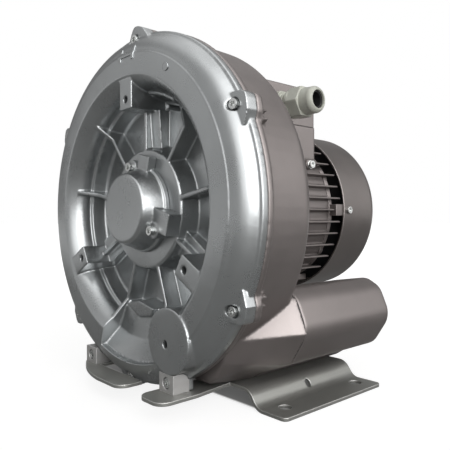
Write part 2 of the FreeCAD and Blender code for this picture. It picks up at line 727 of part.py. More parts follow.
def interrupter_back():
    """Solid bridge in the housing's channel between inlet and outlet, around the impeller."""
    tip = IMPELLER_RADIUS + RUNNING_GAP
    back = IMPELLER_BACK_Y + RUNNING_GAP
    outer = CHANNEL_OUTER + 1.5
    ring = IMPELLER_RIM_INNER - RUNNING_GAP
    fill = turned(((tip, 0), (outer, 0), (outer, CHANNEL_BACK_Y + 2), (ring + 11.6, CHANNEL_BACK_Y + 2),
                   (ring, 50), (FILL_ROOT_RADIUS, 46), (FILL_ROOT_RADIUS, back), (tip, back)))
    fill = fill.common(sector(FAR, GAP_START + 2, GAP_END - 2, -5, FAR))
    return fill.cut(block(-FAR, FAR, -5, IMPELLER_FRONT_Y, -FAR, -110))


def motor_screw_places():
    return circle_places(MOTOR_SCREW_CIRCLE, (45, 135, 225, 315))


def cover_seal():
    """Cord seal in a groove of the housing flange."""
    return tube(SEAL_OUTER, SEAL_INNER, 0, SEAL_DEPTH)


# Rotor

def impeller():
    solids = [turned((
        (IMPELLER_SEAT_RADIUS, WEB_FRONT_Y), (IMPELLER_RIM_INNER + 1, WEB_FRONT_Y),
        (IMPELLER_RIM_INNER, IMPELLER_FRONT_Y), (IMPELLER_RIM_OUTER, IMPELLER_FRONT_Y),
        (IMPELLER_RIM_OUTER, IMPELLER_BACK_Y), (IMPELLER_RIM_INNER, IMPELLER_BACK_Y),
        (IMPELLER_RIM_INNER + 1, WEB_BACK_Y), (IMPELLER_HUB_RADIUS, WEB_BACK_Y),
        (IMPELLER_HUB_RADIUS, IMPELLER_HUB_BACK_Y), (IMPELLER_SEAT_RADIUS, IMPELLER_HUB_BACK_Y)))]
    middle = (IMPELLER_FRONT_Y + IMPELLER_BACK_Y) / 2
    solids.append(tube(IMPELLER_RADIUS - 12, IMPELLER_RIM_OUTER - 1, middle - 1, middle + 1))
    vane = block(IMPELLER_RIM_OUTER - 1, IMPELLER_RADIUS, IMPELLER_FRONT_Y, IMPELLER_BACK_Y,
                 -VANE_THICKNESS / 2, VANE_THICKNESS / 2)
    solids += [turn(vane, k * 360 / VANE_COUNT) for k in range(VANE_COUNT)]
    wheel = fuse_all(solids)
    return wheel.cut(key_block(0.05))


def key_block(slack=0.0):
    half = 4.0 + slack
    return block(-half, half, 28, 44, IMPELLER_SEAT_RADIUS - 4 - slack, IMPELLER_SEAT_RADIUS + 3 + slack)


def motor_shaft():
    fan_shoulder = REAR_BEARING_Y + BEARING_WIDTH + 2
    shaft = turned((
        (0, SHAFT_TIP_Y), (JOURNAL_RADIUS - 1, SHAFT_TIP_Y), (JOURNAL_RADIUS, SHAFT_TIP_Y + 1),
        (JOURNAL_RADIUS, WEB_FRONT_Y), (IMPELLER_SEAT_RADIUS, WEB_FRONT_Y),
        (IMPELLER_SEAT_RADIUS, IMPELLER_HUB_BACK_Y), (SEAL_SEAT_RADIUS, IMPELLER_HUB_BACK_Y),
        (SEAL_SEAT_RADIUS, STATOR_FRONT_Y), (ROTOR_SEAT_RADIUS, STATOR_FRONT_Y),
        (ROTOR_SEAT_RADIUS, STATOR_BACK_Y + 8), (SEAL_SEAT_RADIUS, STATOR_BACK_Y + 8),
        (SEAL_SEAT_RADIUS, REAR_BEARING_Y), (JOURNAL_RADIUS, REAR_BEARING_Y),
        (JOURNAL_RADIUS, fan_shoulder), (FAN_SEAT_RADIUS, fan_shoulder),
        (FAN_SEAT_RADIUS, SHAFT_END_Y - 1), (FAN_SEAT_RADIUS - 1, SHAFT_END_Y), (0, SHAFT_END_Y)))
    tapped = rod(M8[0] + THREAD_CLEARANCE, SHAFT_TIP_Y - 1, 22)
    groove = tube(FAN_SEAT_RADIUS + 2, FAN_SEAT_RADIUS - 0.8, FAN_BACK_Y - 9.9, FAN_BACK_Y - 8.7)
    return shaft.cut(Part.makeCompound([tapped, groove, key_block()]))


def bearing(y0):
    """Deep groove ball bearing: outer ring, inner ring, and the balls in their cage."""
    y1 = y0 + BEARING_WIDTH
    centre_y = (y0 + y1) / 2
    groove = Part.makeTorus(BEARING_PITCH_RADIUS, BALL_GROOVE_RADIUS, vec(0, centre_y, 0), ALONG_Y)
    outer = tube(BEARING_RADIUS, BEARING_OUTER_LAND, y0, y1).cut(groove)
    inner = tube(BEARING_INNER_LAND, JOURNAL_RADIUS, y0, y1).cut(groove)
    balls = []
    pockets = []
    for k in range(BALL_COUNT):
        at = polar(BEARING_PITCH_RADIUS, k * 360 / BALL_COUNT, centre_y)
        balls.append(Part.makeSphere(BALL_RADIUS, at))
        axis = polar(1, k * 360 / BALL_COUNT)
        pockets.append(Part.makeCylinder(BALL_RADIUS + POCKET_SLACK, 12, at - axis * 6, axis))
    cage = tube(BEARING_PITCH_RADIUS + CAGE_THICKNESS / 2, BEARING_PITCH_RADIUS - CAGE_THICKNESS / 2,
                centre_y - CAGE_WIDTH / 2, centre_y + CAGE_WIDTH / 2)
    cage = cage.cut(Part.makeCompound(pockets))
    return outer, inner, balls + [cage]


def rotor_core():
    core = tube(ROTOR_RADIUS, ROTOR_SEAT_RADIUS, STATOR_FRONT_Y, STATOR_BACK_Y)
    rings = [tube(ROTOR_RADIUS - 1.5, ROTOR_SEAT_RADIUS + 6, STATOR_FRONT_Y - 7, STATOR_FRONT_Y),
             tube(ROTOR_RADIUS - 1.5, ROTOR_SEAT_RADIUS + 6, STATOR_BACK_Y, STATOR_BACK_Y + 7)]
    return fuse_all([core] + rings)


# Front bearing cap

def bearing_cap():
    bore = BEARING_RADIUS - 1.6
    cap = turned((
        (0, CAP_FACE_Y), (CAP_FACE_RADIUS - 1, CAP_FACE_Y),
        ((CAP_FACE_RADIUS + 1.4, CAP_FACE_Y + 0.9), (CAP_RIDGE_RADIUS, CAP_FACE_Y + 2.8)),
        (CAP_BASE_RADIUS - 1.5, -4.8), (CAP_BASE_RADIUS, -4), (CAP_BASE_RADIUS + 0.5, 0),
        (bore, 0), (bore, CAP_FACE_Y + 5), (0, CAP_FACE_Y + 5)))
    shank, head, height = M5
    solids = [cap]
    for angle, radius, seat in CAP_SCREWS:
        solids.append(rod(head + 3, seat, 0, polar(radius, angle)))
    for angle, near, far, width, top in CAP_BLOCKS:
        solids.append(turn(block(near - 6, far, top, 0, -width / 2, width / 2), angle))
    body = fuse_all(solids)
    cuts = [rod(bore, CAP_FACE_Y + 5, 1)]
    for angle, radius, seat in CAP_SCREWS:
        at = polar(radius, angle)
        cuts.append(rod(shank + HOLE_SLACK, seat - 1, 1, at))
        cuts.append(rod(head + HEAD_SLACK, -FAR, seat, at))
    return body.cut(Part.makeCompound(cuts))


def bearing_cap_screws():
    return [cap_screw(polar(radius, angle, seat), (0, 1, 0), BEARING_WIDTH - 3 - seat, M5)
            for angle, radius, seat in CAP_SCREWS]


def cover_screws():
    return [cap_screw(polar(LUG_SCREW_RADIUS, angle, LUG_SEAT_Y), (0, 1, 0), LUG_SCREW_LENGTH, M5)
            for angle in LUG_ANGLES]


# Motor

def motor_fins():
    """Level fins on both sides, and upright ones underneath between them."""
    fins = []
    half = FIN_THICKNESS / 2
    count = int(FIN_RADIUS * 0.75 // FIN_PITCH)
    for k in range(-count, count + 1):
        z = k * FIN_PITCH
        reach = math.sqrt(FIN_RADIUS ** 2 - z ** 2)
        fins.append(block(-reach, reach, MOTOR_FACE_Y + 3, FIN_END_Y, z - half, z + half))
    for k in range(-3, 4):
        x = k * FIN_PITCH
        reach = math.sqrt(FIN_RADIUS ** 2 - x ** 2)
        fins.append(block(x - half, x + half, MOTOR_FACE_Y + 3, FIN_END_Y, -reach, -50))
    return fins


def motor_housing():
    solids = [rod(MOTOR_NECK_RADIUS, MOTOR_FACE_Y, MOTOR_NECK_END_Y),
              rod(MOTOR_BODY_RADIUS, MOTOR_NECK_END_Y - 1, MOTOR_BACK_Y)]
    solids += motor_fins()
    solids.append(rod(MOTOR_RING_OUTER, MOTOR_FACE_Y, MOTOR_FACE_Y + 6))
    solids.append(block(-BOX_HALF_X, BOX_HALF_X, BOX_FRONT_Y + 3, BOX_BACK_Y, PEDESTAL_LOW_Z, BOX_BOTTOM_Z))
    for x, z in shield_screw_places():
        solids.append(rod(6.5, MOTOR_FACE_Y + 3, MOTOR_BACK_Y, vec(x, 0, z)))
    earth = (EARTH_SCREW_Y, EARTH_SCREW_Z)
    solids.append(spindle(EARTH_BOSS_RADIUS, MOTOR_BORE_RADIUS - 6, EARTH_BOSS_X, *earth))
    body = fuse_all(solids)
    cuts = [rod(MOTOR_BORE_RADIUS, MOTOR_FACE_Y - 1, FIN_END_Y + 1)]
    inner = block(-BOX_HALF_X + 4, BOX_HALF_X - 4, BOX_FRONT_Y + 7, BOX_BACK_Y - 4,
                  PEDESTAL_LOW_Z + 4, BOX_BOTTOM_Z + 1)
    cuts.append(inner.cut(rod(MOTOR_BODY_RADIUS, MOTOR_FACE_Y, FIN_END_Y)))
    cuts.append(block(-12, 12, 70, 80, 55, 95))
    ear = block(0, FIN_RADIUS + 5, MOTOR_BACK_Y, FIN_END_Y + 1, -EAR_HALF_WIDTH - 1, EAR_HALF_WIDTH + 1)
    cuts += [turn(ear, angle) for angle in EAR_ANGLES]
    cuts.append(tube(MOTOR_BODY_RADIUS + 2, 20, MOTOR_BACK_Y, FIN_END_Y + 1))
    for x, z in motor_screw_places():
        cuts.append(rod(M5[0] + HOLE_SLACK, MOTOR_FACE_Y - 1, MOTOR_FACE_Y + 20, vec(x, 0, z)))
        cuts.append(rod(M5[1] + HEAD_SLACK, MOTOR_FACE_Y + 6, MOTOR_FACE_Y + 26, vec(x, 0, z)))
    for x, z in shield_screw_places():
        cuts.append(rod(M5[0] + THREAD_CLEARANCE, MOTOR_BACK_Y - 20, MOTOR_BACK_Y + 1, vec(x, 0, z)))
        cuts.append(rod(8.5, MOTOR_BACK_Y, FIN_END_Y + 1, vec(x, 0, z)))
    cuts.append(spindle(M4[0] + THREAD_CLEARANCE, EARTH_BOSS_X - 12, EARTH_BOSS_X + 1, *earth))
    for x, y in box_screw_places():
        cuts.append(post(M4[0] + THREAD_CLEARANCE, x, y, BOX_BOTTOM_Z - 12, BOX_BOTTOM_Z + 1))
        posts = post(5, x, y, 55, BOX_BOTTOM_Z)
        body = body.fuse(posts.cut(rod(MOTOR_NECK_RADIUS - 2, 60, 190)))
    return body.cut(Part.makeCompound(cuts)).removeSplitter()


def shield_screw_places():
    return circle_places(SHIELD_SCREW_CIRCLE, (-35, 27, 153, 215))


def earth_screw():
    """Screw with a washer under its head on the motor's right side."""
    washer_end = EARTH_BOSS_X + 1
    earth = (EARTH_SCREW_Y, EARTH_SCREW_Z)
    washer = spindle(EARTH_BOSS_RADIUS - 0.8, EARTH_BOSS_X, washer_end, *earth)
    washer = washer.cut(spindle(M4[0] + HOLE_SLACK, EARTH_BOSS_X - 1, washer_end + 1, *earth))
    return cap_screw(vec(washer_end, *earth), (-1, 0, 0), 10, M4), washer


def stator_core():
    core = tube(MOTOR_BORE_RADIUS, STATOR_BORE_RADIUS, STATOR_FRONT_Y, STATOR_BACK_Y)
    near = STATOR_BORE_RADIUS + 1.5
    slot = block(near, near + 13.5, STATOR_FRONT_Y - 1, STATOR_BACK_Y + 1, -2.4, 2.4)
    return core.cut(Part.makeCompound([turn(slot, k * 360 / SLOT_COUNT) for k in range(SLOT_COUNT)]))


def stator_windings():
    near = STATOR_BORE_RADIUS + 2
    bar = block(near, near + 12.6, STATOR_FRONT_Y - 2, STATOR_BACK_Y + 2, -2.1, 2.1)
    bars = [turn(bar, k * 360 / SLOT_COUNT) for k in range(SLOT_COUNT)]
    ends = []
    for y0, y1 in ((STATOR_FRONT_Y - WINDING_OVERHANG, STATOR_FRONT_Y - 1),
                   (STATOR_BACK_Y + 1, STATOR_BACK_Y + WINDING_OVERHANG)):
        inner = STATOR_BORE_RADIUS + 1.8
        ends.append(tube(inner + 15, inner, y0, y1))
    return fuse_all(ends + bars)


def rear_end_shield():
    y0 = MOTOR_BACK_Y
    bore_back = REAR_BEARING_Y + BEARING_WIDTH
    shield = turned((
        (MOTOR_BODY_RADIUS, y0), (MOTOR_BODY_RADIUS + 1, y0 + 4), (MOTOR_BODY_RADIUS - 6, SHIELD_FLANGE_Y),
        (36, SHIELD_FLANGE_Y + 3), (33, bore_back + 4), (JOURNAL_RADIUS + 2, bore_back + 4),
        (JOURNAL_RADIUS + 2, bore_back + 1.5), (BEARING_RADIUS - 3, bore_back + 1.5),
        (BEARING_RADIUS, bore_back + 1.5), (BEARING_RADIUS, y0 - 6), (32, y0 - 6), (36, y0 - 1),
        (MOTOR_BORE_RADIUS - 4, y0 - 1), (MOTOR_BORE_RADIUS - 3, y0 - 4), (MOTOR_BORE_RADIUS - 0.05, y0 - 4),
        (MOTOR_BORE_RADIUS - 0.05, y0)))
    solids = [shield]
    for x, z in shield_screw_places():
        solids.append(rod(7.5, y0, y0 + 5, vec(x, 0, z)))
    reach = COWL_RADIUS - COWL_SHEET - 0.1
    for angle in EAR_ANGLES:
        arm = block(MOTOR_BODY_RADIUS - 12, reach, y0 + 1, y0 + 6, -EAR_HALF_WIDTH, EAR_HALF_WIDTH)
        ear = block(reach - 9, reach, y0 + 1, COWL_SCREW_Y + 8, -EAR_HALF_WIDTH, EAR_HALF_WIDTH)
        outer = rod(reach, y0, COWL_SCREW_Y + 10)
        solids.append(turn(arm.fuse(ear).common(outer), angle))
    body = fuse_all(solids)
    cuts = []
    for x, z in shield_screw_places():
        cuts.append(rod(M5[0] + HOLE_SLACK, y0 - 1, y0 + 9, vec(x, 0, z)))
        cuts.append(rod(M5[1] + HEAD_SLACK, y0 + 5, y0 + 14, vec(x, 0, z)))
    for angle in EAR_ANGLES:
        hole = spindle(M4[0] + THREAD_CLEARANCE, COWL_RADIUS - 12, COWL_RADIUS, COWL_SCREW_Y, 0)
        cuts.append(turn(hole, angle))
    return body.cut(Part.makeCompound(cuts))


def wave_spring():
    """Preload ring between the outer ring of the rear bearing and its seat."""
    y0 = REAR_BEARING_Y + BEARING_WIDTH
    return tube(BEARING_RADIUS - 0.4, BEARING_OUTER_LAND, y0 + 0.1, y0 + 1.3)


def cooling_fan():
    hub = tube(17, FAN_SEAT_RADIUS, FAN_FRONT_Y, FAN_BACK_Y - 10)
    disc = tube(FAN_RADIUS + 3, 16, FAN_FRONT_Y, FAN_FRONT_Y + 2.5)
    blade = block(16.5, FAN_RADIUS, FAN_FRONT_Y, FAN_BACK_Y - 4, -1.2, 1.2)
    nose = block(10, 40, FAN_BACK_Y - 12, FAN_BACK_Y, -3, 3)
    blade = blade.cut(nose)
    return fuse_all([hub, disc] + [turn(blade, k * 360 / FAN_BLADES) for k in range(FAN_BLADES)])


def fan_retaining_ring():
    ring = tube(FAN_SEAT_RADIUS + 2.2, FAN_SEAT_RADIUS - 0.7, FAN_BACK_Y - 9.8, FAN_BACK_Y - 8.8)
    return ring.cut(block(-3, 3, FAN_BACK_Y - 12, FAN_BACK_Y, 5, 16))


def fan_cowl():
    r = COWL_RADIUS
    t = COWL_SHEET
    c = COWL_CORNER
    s = c * (1 - math.sqrt(0.5))
    y1 = COWL_BACK_Y
    shell = turned((
        (r, COWL_FRONT_Y), (r, y1 - c), ((r - s, y1 - s), (r - c, y1)), (0, y1), (0, y1 - t), (r - c, y1 - t),
        ((r - t - (c - t) * (1 - math.sqrt(0.5)), y1 - t - (c - t) * (1 - math.sqrt(0.5))), (r - t, y1 - c)),
        (r - t, COWL_FRONT_Y)))
    cuts = []
    for ring in range(6):
        radius = 18 + 9.6 * ring
        cell = tube(radius + 6.4, radius, y1 - 5, y1 + 1)
        bars = [turn(block(0, 100, y1 - 6, y1 + 2, -1.6, 1.6), 22.5 + 45 * k) for k in range(8)]
        cuts.append(cell.cut(Part.makeCompound(bars)))
    for angle in EAR_ANGLES:
        hole = spindle(M4[0] + HOLE_SLACK, r - 8, r + 6, COWL_SCREW_Y, 0)
        cuts.append(turn(hole, angle))
    return shell.cut(Part.makeCompound(cuts))


def fan_cowl_screws():
    screws = []
    for angle in EAR_ANGLES:
        screw = cap_screw(vec(COWL_RADIUS, COWL_SCREW_Y, 0), (-1, 0, 0), 10, M4)
        screws.append(turn(screw, angle))
    return screws


def end_shield_screws():
    return [cap_screw(vec(x, MOTOR_BACK_Y + 5, z), (0, -1, 0), 18, M5) for x, z in shield_screw_places()]


def motor_flange_screws():
    return [cap_screw(vec(x, MOTOR_FACE_Y + 6, z), (0, -1, 0), 18, M5) for x, z in motor_screw_places()]


# Terminal box

def box_screw_places():
    return [(sx * (BOX_HALF_X - 14), y) for sx in (-1, 1) for y in (BOX_FRONT_Y + 16, BOX_BACK_Y - 14)]


def lid_screw_places():
    return [(sx * (BOX_HALF_X - 7), y) for sx in (-1, 1) for y in (BOX_FRONT_Y + 7, BOX_BACK_Y - 7)]


def rounded_box(x0, x1, y0, y1, z0, z1, radius):
    body = block(x0, x1, y0, y1, z0, z1)
    uprights = [e for e in body.Edges if abs(e.Vertexes[0].Z - e.Vertexes[1].Z) > 0.5 * (z1 - z0)]
    return body.makeFillet(radius, uprights)


def terminal_box():
    x, y0, y1 = BOX_HALF_X, BOX_FRONT_Y, BOX_BACK_Y
    outer = rounded_box(-x, x, y0, y1, BOX_BOTTOM_Z, BOX_SPLIT_Z, BOX_CORNER)
    inner = rounded_box(-x + BOX_WALL, x - BOX_WALL, y0 + BOX_WALL, y1 - BOX_WALL,
                        BOX_BOTTOM_Z + BOX_FLOOR, BOX_SPLIT_Z + 1, BOX_CORNER)
    body = outer.cut(inner)
    posts = [post(5, px, py, BOX_BOTTOM_Z + 1, BOX_SPLIT_Z) for px, py in lid_screw_places()]
    body = fuse_all([body] + posts)
    cuts = [spindle(GLAND_THREAD_RADIUS + HOLE_SLACK, x - 8, x + 2, GLAND_Y, GLAND_Z)]
    cuts.append(block(-12, 12, 70, 80, BOX_BOTTOM_Z - 1, BOX_BOTTOM_Z + BOX_FLOOR + 1))
    for px, py in lid_screw_places():
        cuts.append(post(M4[0] + THREAD_CLEARANCE, px, py, BOX_SPLIT_Z - 14, BOX_SPLIT_Z + 1))
    for px, py in box_screw_places():
        cuts.append(post(M4[0] + HOLE_SLACK, px, py, BOX_BOTTOM_Z - 1, BOX_BOTTOM_Z + BOX_FLOOR + 1))
    for px, py in board_screw_places():
        cuts.append(post(M3[0] + THREAD_CLEARANCE, px, py, BOX_BOTTOM_Z - 1, BOX_BOTTOM_Z + BOX_FLOOR + 1))
    return body.cut(Part.makeCompound(cuts))


def terminal_box_gasket():
    x, y0, y1 = BOX_HALF_X, BOX_FRONT_Y, BOX_BACK_Y
    z0, z1 = BOX_SPLIT_Z, BOX_SPLIT_Z + GASKET_THICKNESS
    body = rounded_box(-x + 0.6, x - 0.6, y0 + 0.6, y1 - 0.6, z0, z1, BOX_CORNER)
    edge = BOX_WALL + 1
    body = body.cut(rounded_box(-x + edge, x - edge, y0 + edge, y1 - edge, z0 - 1, z1 + 1, BOX_CORNER))
    pads = [post(5, px, py, z0, z1) for px, py in lid_screw_places()]
    body = fuse_all([body] + pads)
    holes = [post(M4[0] + HOLE_SLACK, px, py, z0 - 1, z1 + 1) for px, py in lid_screw_places()]
    return body.cut(Part.makeCompound(holes))


def terminal_box_lid():
    x, y0, y1 = BOX_HALF_X, BOX_FRONT_Y, BOX_BACK_Y
    z0 = BOX_SPLIT_Z + GASKET_THICKNESS
    outer = rounded_box(-x, x, y0, y1, z0, BOX_TOP_Z, BOX_CORNER)
    top = [e for e in outer.Edges if abs(e.BoundBox.ZMin - BOX_TOP_Z) < 0.01]
    outer = outer.makeFillet(BOX_CORNER - 0.8, top)
    inner = rounded_box(-x + BOX_WALL, x - BOX_WALL, y0 + BOX_WALL, y1 - BOX_WALL,
                        z0 - 1, BOX_TOP_Z - BOX_WALL, BOX_CORNER)
    body = outer.cut(inner)
    posts = [post(5, px, py, z0, BOX_TOP_Z - 2) for px, py in lid_screw_places()]
    body = fuse_all([body] + posts)
    cuts = []
    for px, py in lid_screw_places():
        cuts.append(post(M4[0] + HOLE_SLACK, px, py, z0 - 1, BOX_TOP_Z + 1))
        cuts.append(post(M4[1] + 0.4, px, py, BOX_TOP_Z - 3, BOX_TOP_Z + 1))
    return body.cut(Part.makeCompound(cuts))


def terminal_lid_screws():
    return [cap_screw(vec(px, py, BOX_TOP_Z - 3), (0, 0, -1), 20, M4) for px, py in lid_screw_places()]


def terminal_box_screws():
    floor = BOX_BOTTOM_Z + BOX_FLOOR
    return [cap_screw(vec(px, py, floor), (0, 0, -1), 12, M4) for px, py in box_screw_places()]


def board_screw_places():
    return [(-30, 118), (30, 118)]


def terminal_board():
    z0 = BOX_BOTTOM_Z + BOX_FLOOR
    body = block(-36, 36, 100, 136, z0, z0 + 7)
    barriers = [block(x - 1, x + 1, 102, 134, z0 + 6, z0 + 11) for x in (-21, 0, 21)]
    cuts = [post(M3[0] + HOLE_SLACK, px, py, z0 - 1, z0 + 12) for px, py in board_screw_places()]
    cuts += [post(M4[0] + THREAD_CLEARANCE, sx, sy, z0 + 1, z0 + 12) for sx, sy in stud_places()]
    return fuse_all([body] + barriers).cut(Part.makeCompound(cuts))


def stud_places():
    return [(sx, sy) for sx in (-10.5, 10.5, -30) for sy in (110, 127)]


def terminal_studs():
    z0 = BOX_BOTTOM_Z + BOX_FLOOR
    studs = []
    for sx, sy in stud_places():
        stud = post(M4[0], sx, sy, z0 + 1, z0 + 17)
        nut = post(3.6, sx, sy, z0 + 7, z0 + 10)
        studs.append(stud.fuse(nut))
    return studs


def terminal_board_screws():
    z0 = BOX_BOTTOM_Z + BOX_FLOOR + 7
    return [cap_screw(vec(px, py, z0), (0, 0, -1), 9, M3) for px, py in board_screw_places()]


# Cable gland

def gland_body():
    x0 = BOX_HALF_X
    hex_end = x0 + 13
    corner = GLAND_HEX_AF / math.sqrt(3)
    thread = spindle(GLAND_THREAD_RADIUS, x0 - 9, x0 + 1, GLAND_Y, GLAND_Z)
    collar = spindle(corner - 1.0, x0, x0 + 4, GLAND_Y, GLAND_Z)
    flats = hexagon_x(GLAND_HEX_AF, x0 + 4, hex_end, GLAND_Y, GLAND_Z).common(
        spindle(corner - 0.4, x0, hex_end + 1, GLAND_Y, GLAND_Z))
    shoulder = spindle(GLAND_NECK_RADIUS + 1.6, hex_end, x0 + 18, GLAND_Y, GLAND_Z)
    neck = spindle(GLAND_NECK_RADIUS, hex_end, x0 + GLAND_NECK_END, GLAND_Y, GLAND_Z)
    body = fuse_all([thread, collar, flats, shoulder, neck])
    return body.cut(spindle(GLAND_BORE_RADIUS + 1, x0 - FAR, x0 + FAR, GLAND_Y, GLAND_Z))


def gland_locknut():
    x1 = BOX_HALF_X - BOX_WALL
    nut = hexagon_x(LOCKNUT_AF, x1 - 5, x1, GLAND_Y, GLAND_Z)
    return nut.cut(spindle(GLAND_THREAD_RADIUS + THREAD_CLEARANCE, x1 - 8, x1 + 2, GLAND_Y, GLAND_Z))


def gland_seal():
    start = BOX_HALF_X + GLAND_NECK_END + 0.2
    end = BOX_HALF_X + GLAND_CAP_START + GLAND_CAP_LENGTH - 3
    ring = spindle(GLAND_NECK_RADIUS, start, end, GLAND_Y, GLAND_Z)
    return ring.cut(spindle(GLAND_BORE_RADIUS, start - 1, end + 1, GLAND_Y, GLAND_Z))


def gland_cap_nut():
    x0 = BOX_HALF_X + GLAND_CAP_START
    length = GLAND_CAP_LENGTH
    corner = GLAND_HEX_AF / math.sqrt(3)
    skirt = spindle(GLAND_HEX_AF / 2 + 0.6, x0, x0 + 3, GLAND_Y, GLAND_Z)
    flats = hexagon_x(GLAND_HEX_AF, x0 + 2.5, x0 + 16.5, GLAND_Y, GLAND_Z).common(
        spindle(corner - 0.3, x0 - 1, x0 + 20, GLAND_Y, GLAND_Z))
    r = GLAND_DOME_RADIUS
    steps = ((0, 15), (r, 15), (r, 19), (r - 0.3, length - 6),
             ((r - 1.1, length - 1.8), (r - 3.2, length)), (0, length))
    wire = profile_wire(steps, lambda r, x: vec(x0 + x, GLAND_Y + r, GLAND_Z))
    dome = Part.Face(wire).revolve(vec(x0, GLAND_Y, GLAND_Z), ALONG_X, 360)
    body = fuse_all([skirt, flats, dome])
    bore = spindle(GLAND_NECK_RADIUS + 0.2, x0 - 1, x0 + length - 2.8, GLAND_Y, GLAND_Z)
    mouth = spindle(GLAND_MOUTH_RADIUS, x0, x0 + length + 1, GLAND_Y, GLAND_Z)
    return body.cut(Part.makeCompound([bore, mouth])).removeSplitter()


# Silencers, ports and base

def side_profile(side):
    if side > 0:
        return SILENCER_PROFILE, SILENCER_CORNERS
    return mirrored(SILENCER_PROFILE), tuple(reversed(SILENCER_CORNERS))


def silencer(side):
    points, radii = side_profile(side)
    y0 = HOUSING_DEPTH + JOINT_GASKET
    body = rounded_prism(points, radii, y0, SILENCER_BACK_Y)
    rear = [e for e in body.Edges if abs(e.BoundBox.YMin - SILENCER_BACK_Y) < 0.01]
    body = body.makeFillet(SILENCER_REAR_FILLET, rear)
    hollow = inset_prism(points, radii, SILENCER_WALL, y0 - 1, SILENCER_BACK_Y - SILENCER_WALL)
    body = body.cut(hollow)
    at = vec(side * PORT_X, 0, PORT_Z)
    body = body.cut(rod(TUBE_RADIUS + 2, SILENCER_BACK_Y - 10, SILENCER_BACK_Y + 1, at))
    cuts = []
    for px, pz in port_screw_places(side):
        cuts.append(rod(M5[0] + THREAD_CLEARANCE, SILENCER_BACK_Y - 14, SILENCER_BACK_Y + 1, vec(px, 0, pz)))
        body = body.fuse(rod(5, SILENCER_BACK_Y - 16, SILENCER_BACK_Y - 2, vec(px, 0, pz)))
    for px, py in silencer_foot_places(side):
        body = body.fuse(post(6, px, py, PLATE_TOP_Z, PLATE_TOP_Z + 12))
        cuts.append(post(M5[0] + THREAD_CLEARANCE, px, py, PLATE_TOP_Z - 1, PLATE_TOP_Z + 11))
    return body.cut(Part.makeCompound(cuts))


def port_screw_places(side):
    half_x = PORT_PLATE_HALF_X - 6.5
    half_z = PORT_PLATE_HALF_Z - 7.5
    return [(side * PORT_X + sx * half_x, PORT_Z + sz * half_z) for sx in (-1, 1) for sz in (-1, 1)]


def silencer_foot_places(side):
    return [(side * x, y) for x, y in SILENCER_FEET]


def silencer_foam(side):
    points, radii = side_profile(side)
    y0 = HOUSING_DEPTH + JOINT_GASKET + 4
    y1 = SILENCER_BACK_Y - 20
    outer = inset_prism(points, radii, SILENCER_WALL + 0.2, y0, y1)
    inner = inset_prism(points, radii, SILENCER_WALL + FOAM_THICKNESS, y0 - 1, y1 + 1)
    feet = [post(6.5, px, py, -200, PLATE_TOP_Z + 13) for px, py in silencer_foot_places(side)]
    around_tube = rod(TUBE_RADIUS + 0.4, y0 - 1, y1 + 1, vec(side * PORT_X, 0, PORT_Z))
    return outer.cut(inner).cut(Part.makeCompound(feet + [around_tube]))


def silencer_tube(side):
    """Perforated pipe between the port and the chamber."""
    at = vec(side * PORT_X, 0, PORT_Z)
    y1 = SILENCER_BACK_Y
    pipe = tube(TUBE_RADIUS, TUBE_RADIUS - TUBE_WALL, 110, y1, at)
    flange = tube(TUBE_RADIUS + 1.9, TUBE_RADIUS - TUBE_WALL, y1 - 3.8, y1, at)
    pipe = pipe.fuse(flange)
    drills = []
    for row in range(5):
        for k in range(4):
            angle = k * 45 + (22.5 if row % 2 else 0)
            axis = polar(1, angle)
            start = vec(at.x, 118 + row * 12, at.z) - axis * 40
            drills.append(Part.makeCylinder(3, 80, start, axis))
    return pipe.cut(Part.makeCompound(drills))


def silencer_gasket(side):
    points, radii = side_profile(side)
    y0 = HOUSING_DEPTH
    outer = inset_prism(points, radii, 0.8, y0, y0 + JOINT_GASKET)
    inner = inset_prism(points, radii, SILENCER_WALL, y0 - 1, y0 + JOINT_GASKET + 1)
    return outer.cut(inner)


def port_flange(side):
    y0 = SILENCER_BACK_Y
    y1 = y0 + PORT_NECK_LENGTH
    at = vec(side * PORT_X, 0, PORT_Z)
    half_x, half_z = PORT_PLATE_HALF_X, PORT_PLATE_HALF_Z
    plate_points = ((at.x - half_x, at.z - half_z), (at.x - half_x, at.z + half_z),
                    (at.x + half_x, at.z + half_z), (at.x + half_x, at.z - half_z))
    plate = rounded_prism(plate_points, (6, 6, 6, 6), y0, y0 + PORT_PLATE_THICKNESS)
    body = plate.fuse(rod(PORT_NECK_RADIUS, y0, y1, at))
    cuts = [rod(PORT_THREAD_RADIUS, y0 - 1, y1 + 2, at)]
    for px, pz in port_screw_places(side):
        cuts.append(rod(M5[0] + HOLE_SLACK, y0 - 1, y0 + 9, vec(px, 0, pz)))
        cuts.append(rod(M5[1] + HEAD_SLACK, y0 + PORT_PLATE_THICKNESS, y1 + 2, vec(px, 0, pz)))
    return body.cut(Part.makeCompound(cuts)).removeSplitter()


def port_flange_screws():
    return [cap_screw(vec(px, SILENCER_BACK_Y + PORT_PLATE_THICKNESS, pz), (0, -1, 0), 18, M5)
            for side in (-1, 1) for px, pz in port_screw_places(side)]


def silencer_screws():
    """Screws from under the base plate into the silencers."""
    return [cap_screw(vec(px, py, PLATE_TOP_Z - PLATE_THICKNESS), (0, 0, 1), 13, M5)
            for side in (-1, 1) for px, py in silencer_foot_places(side)]


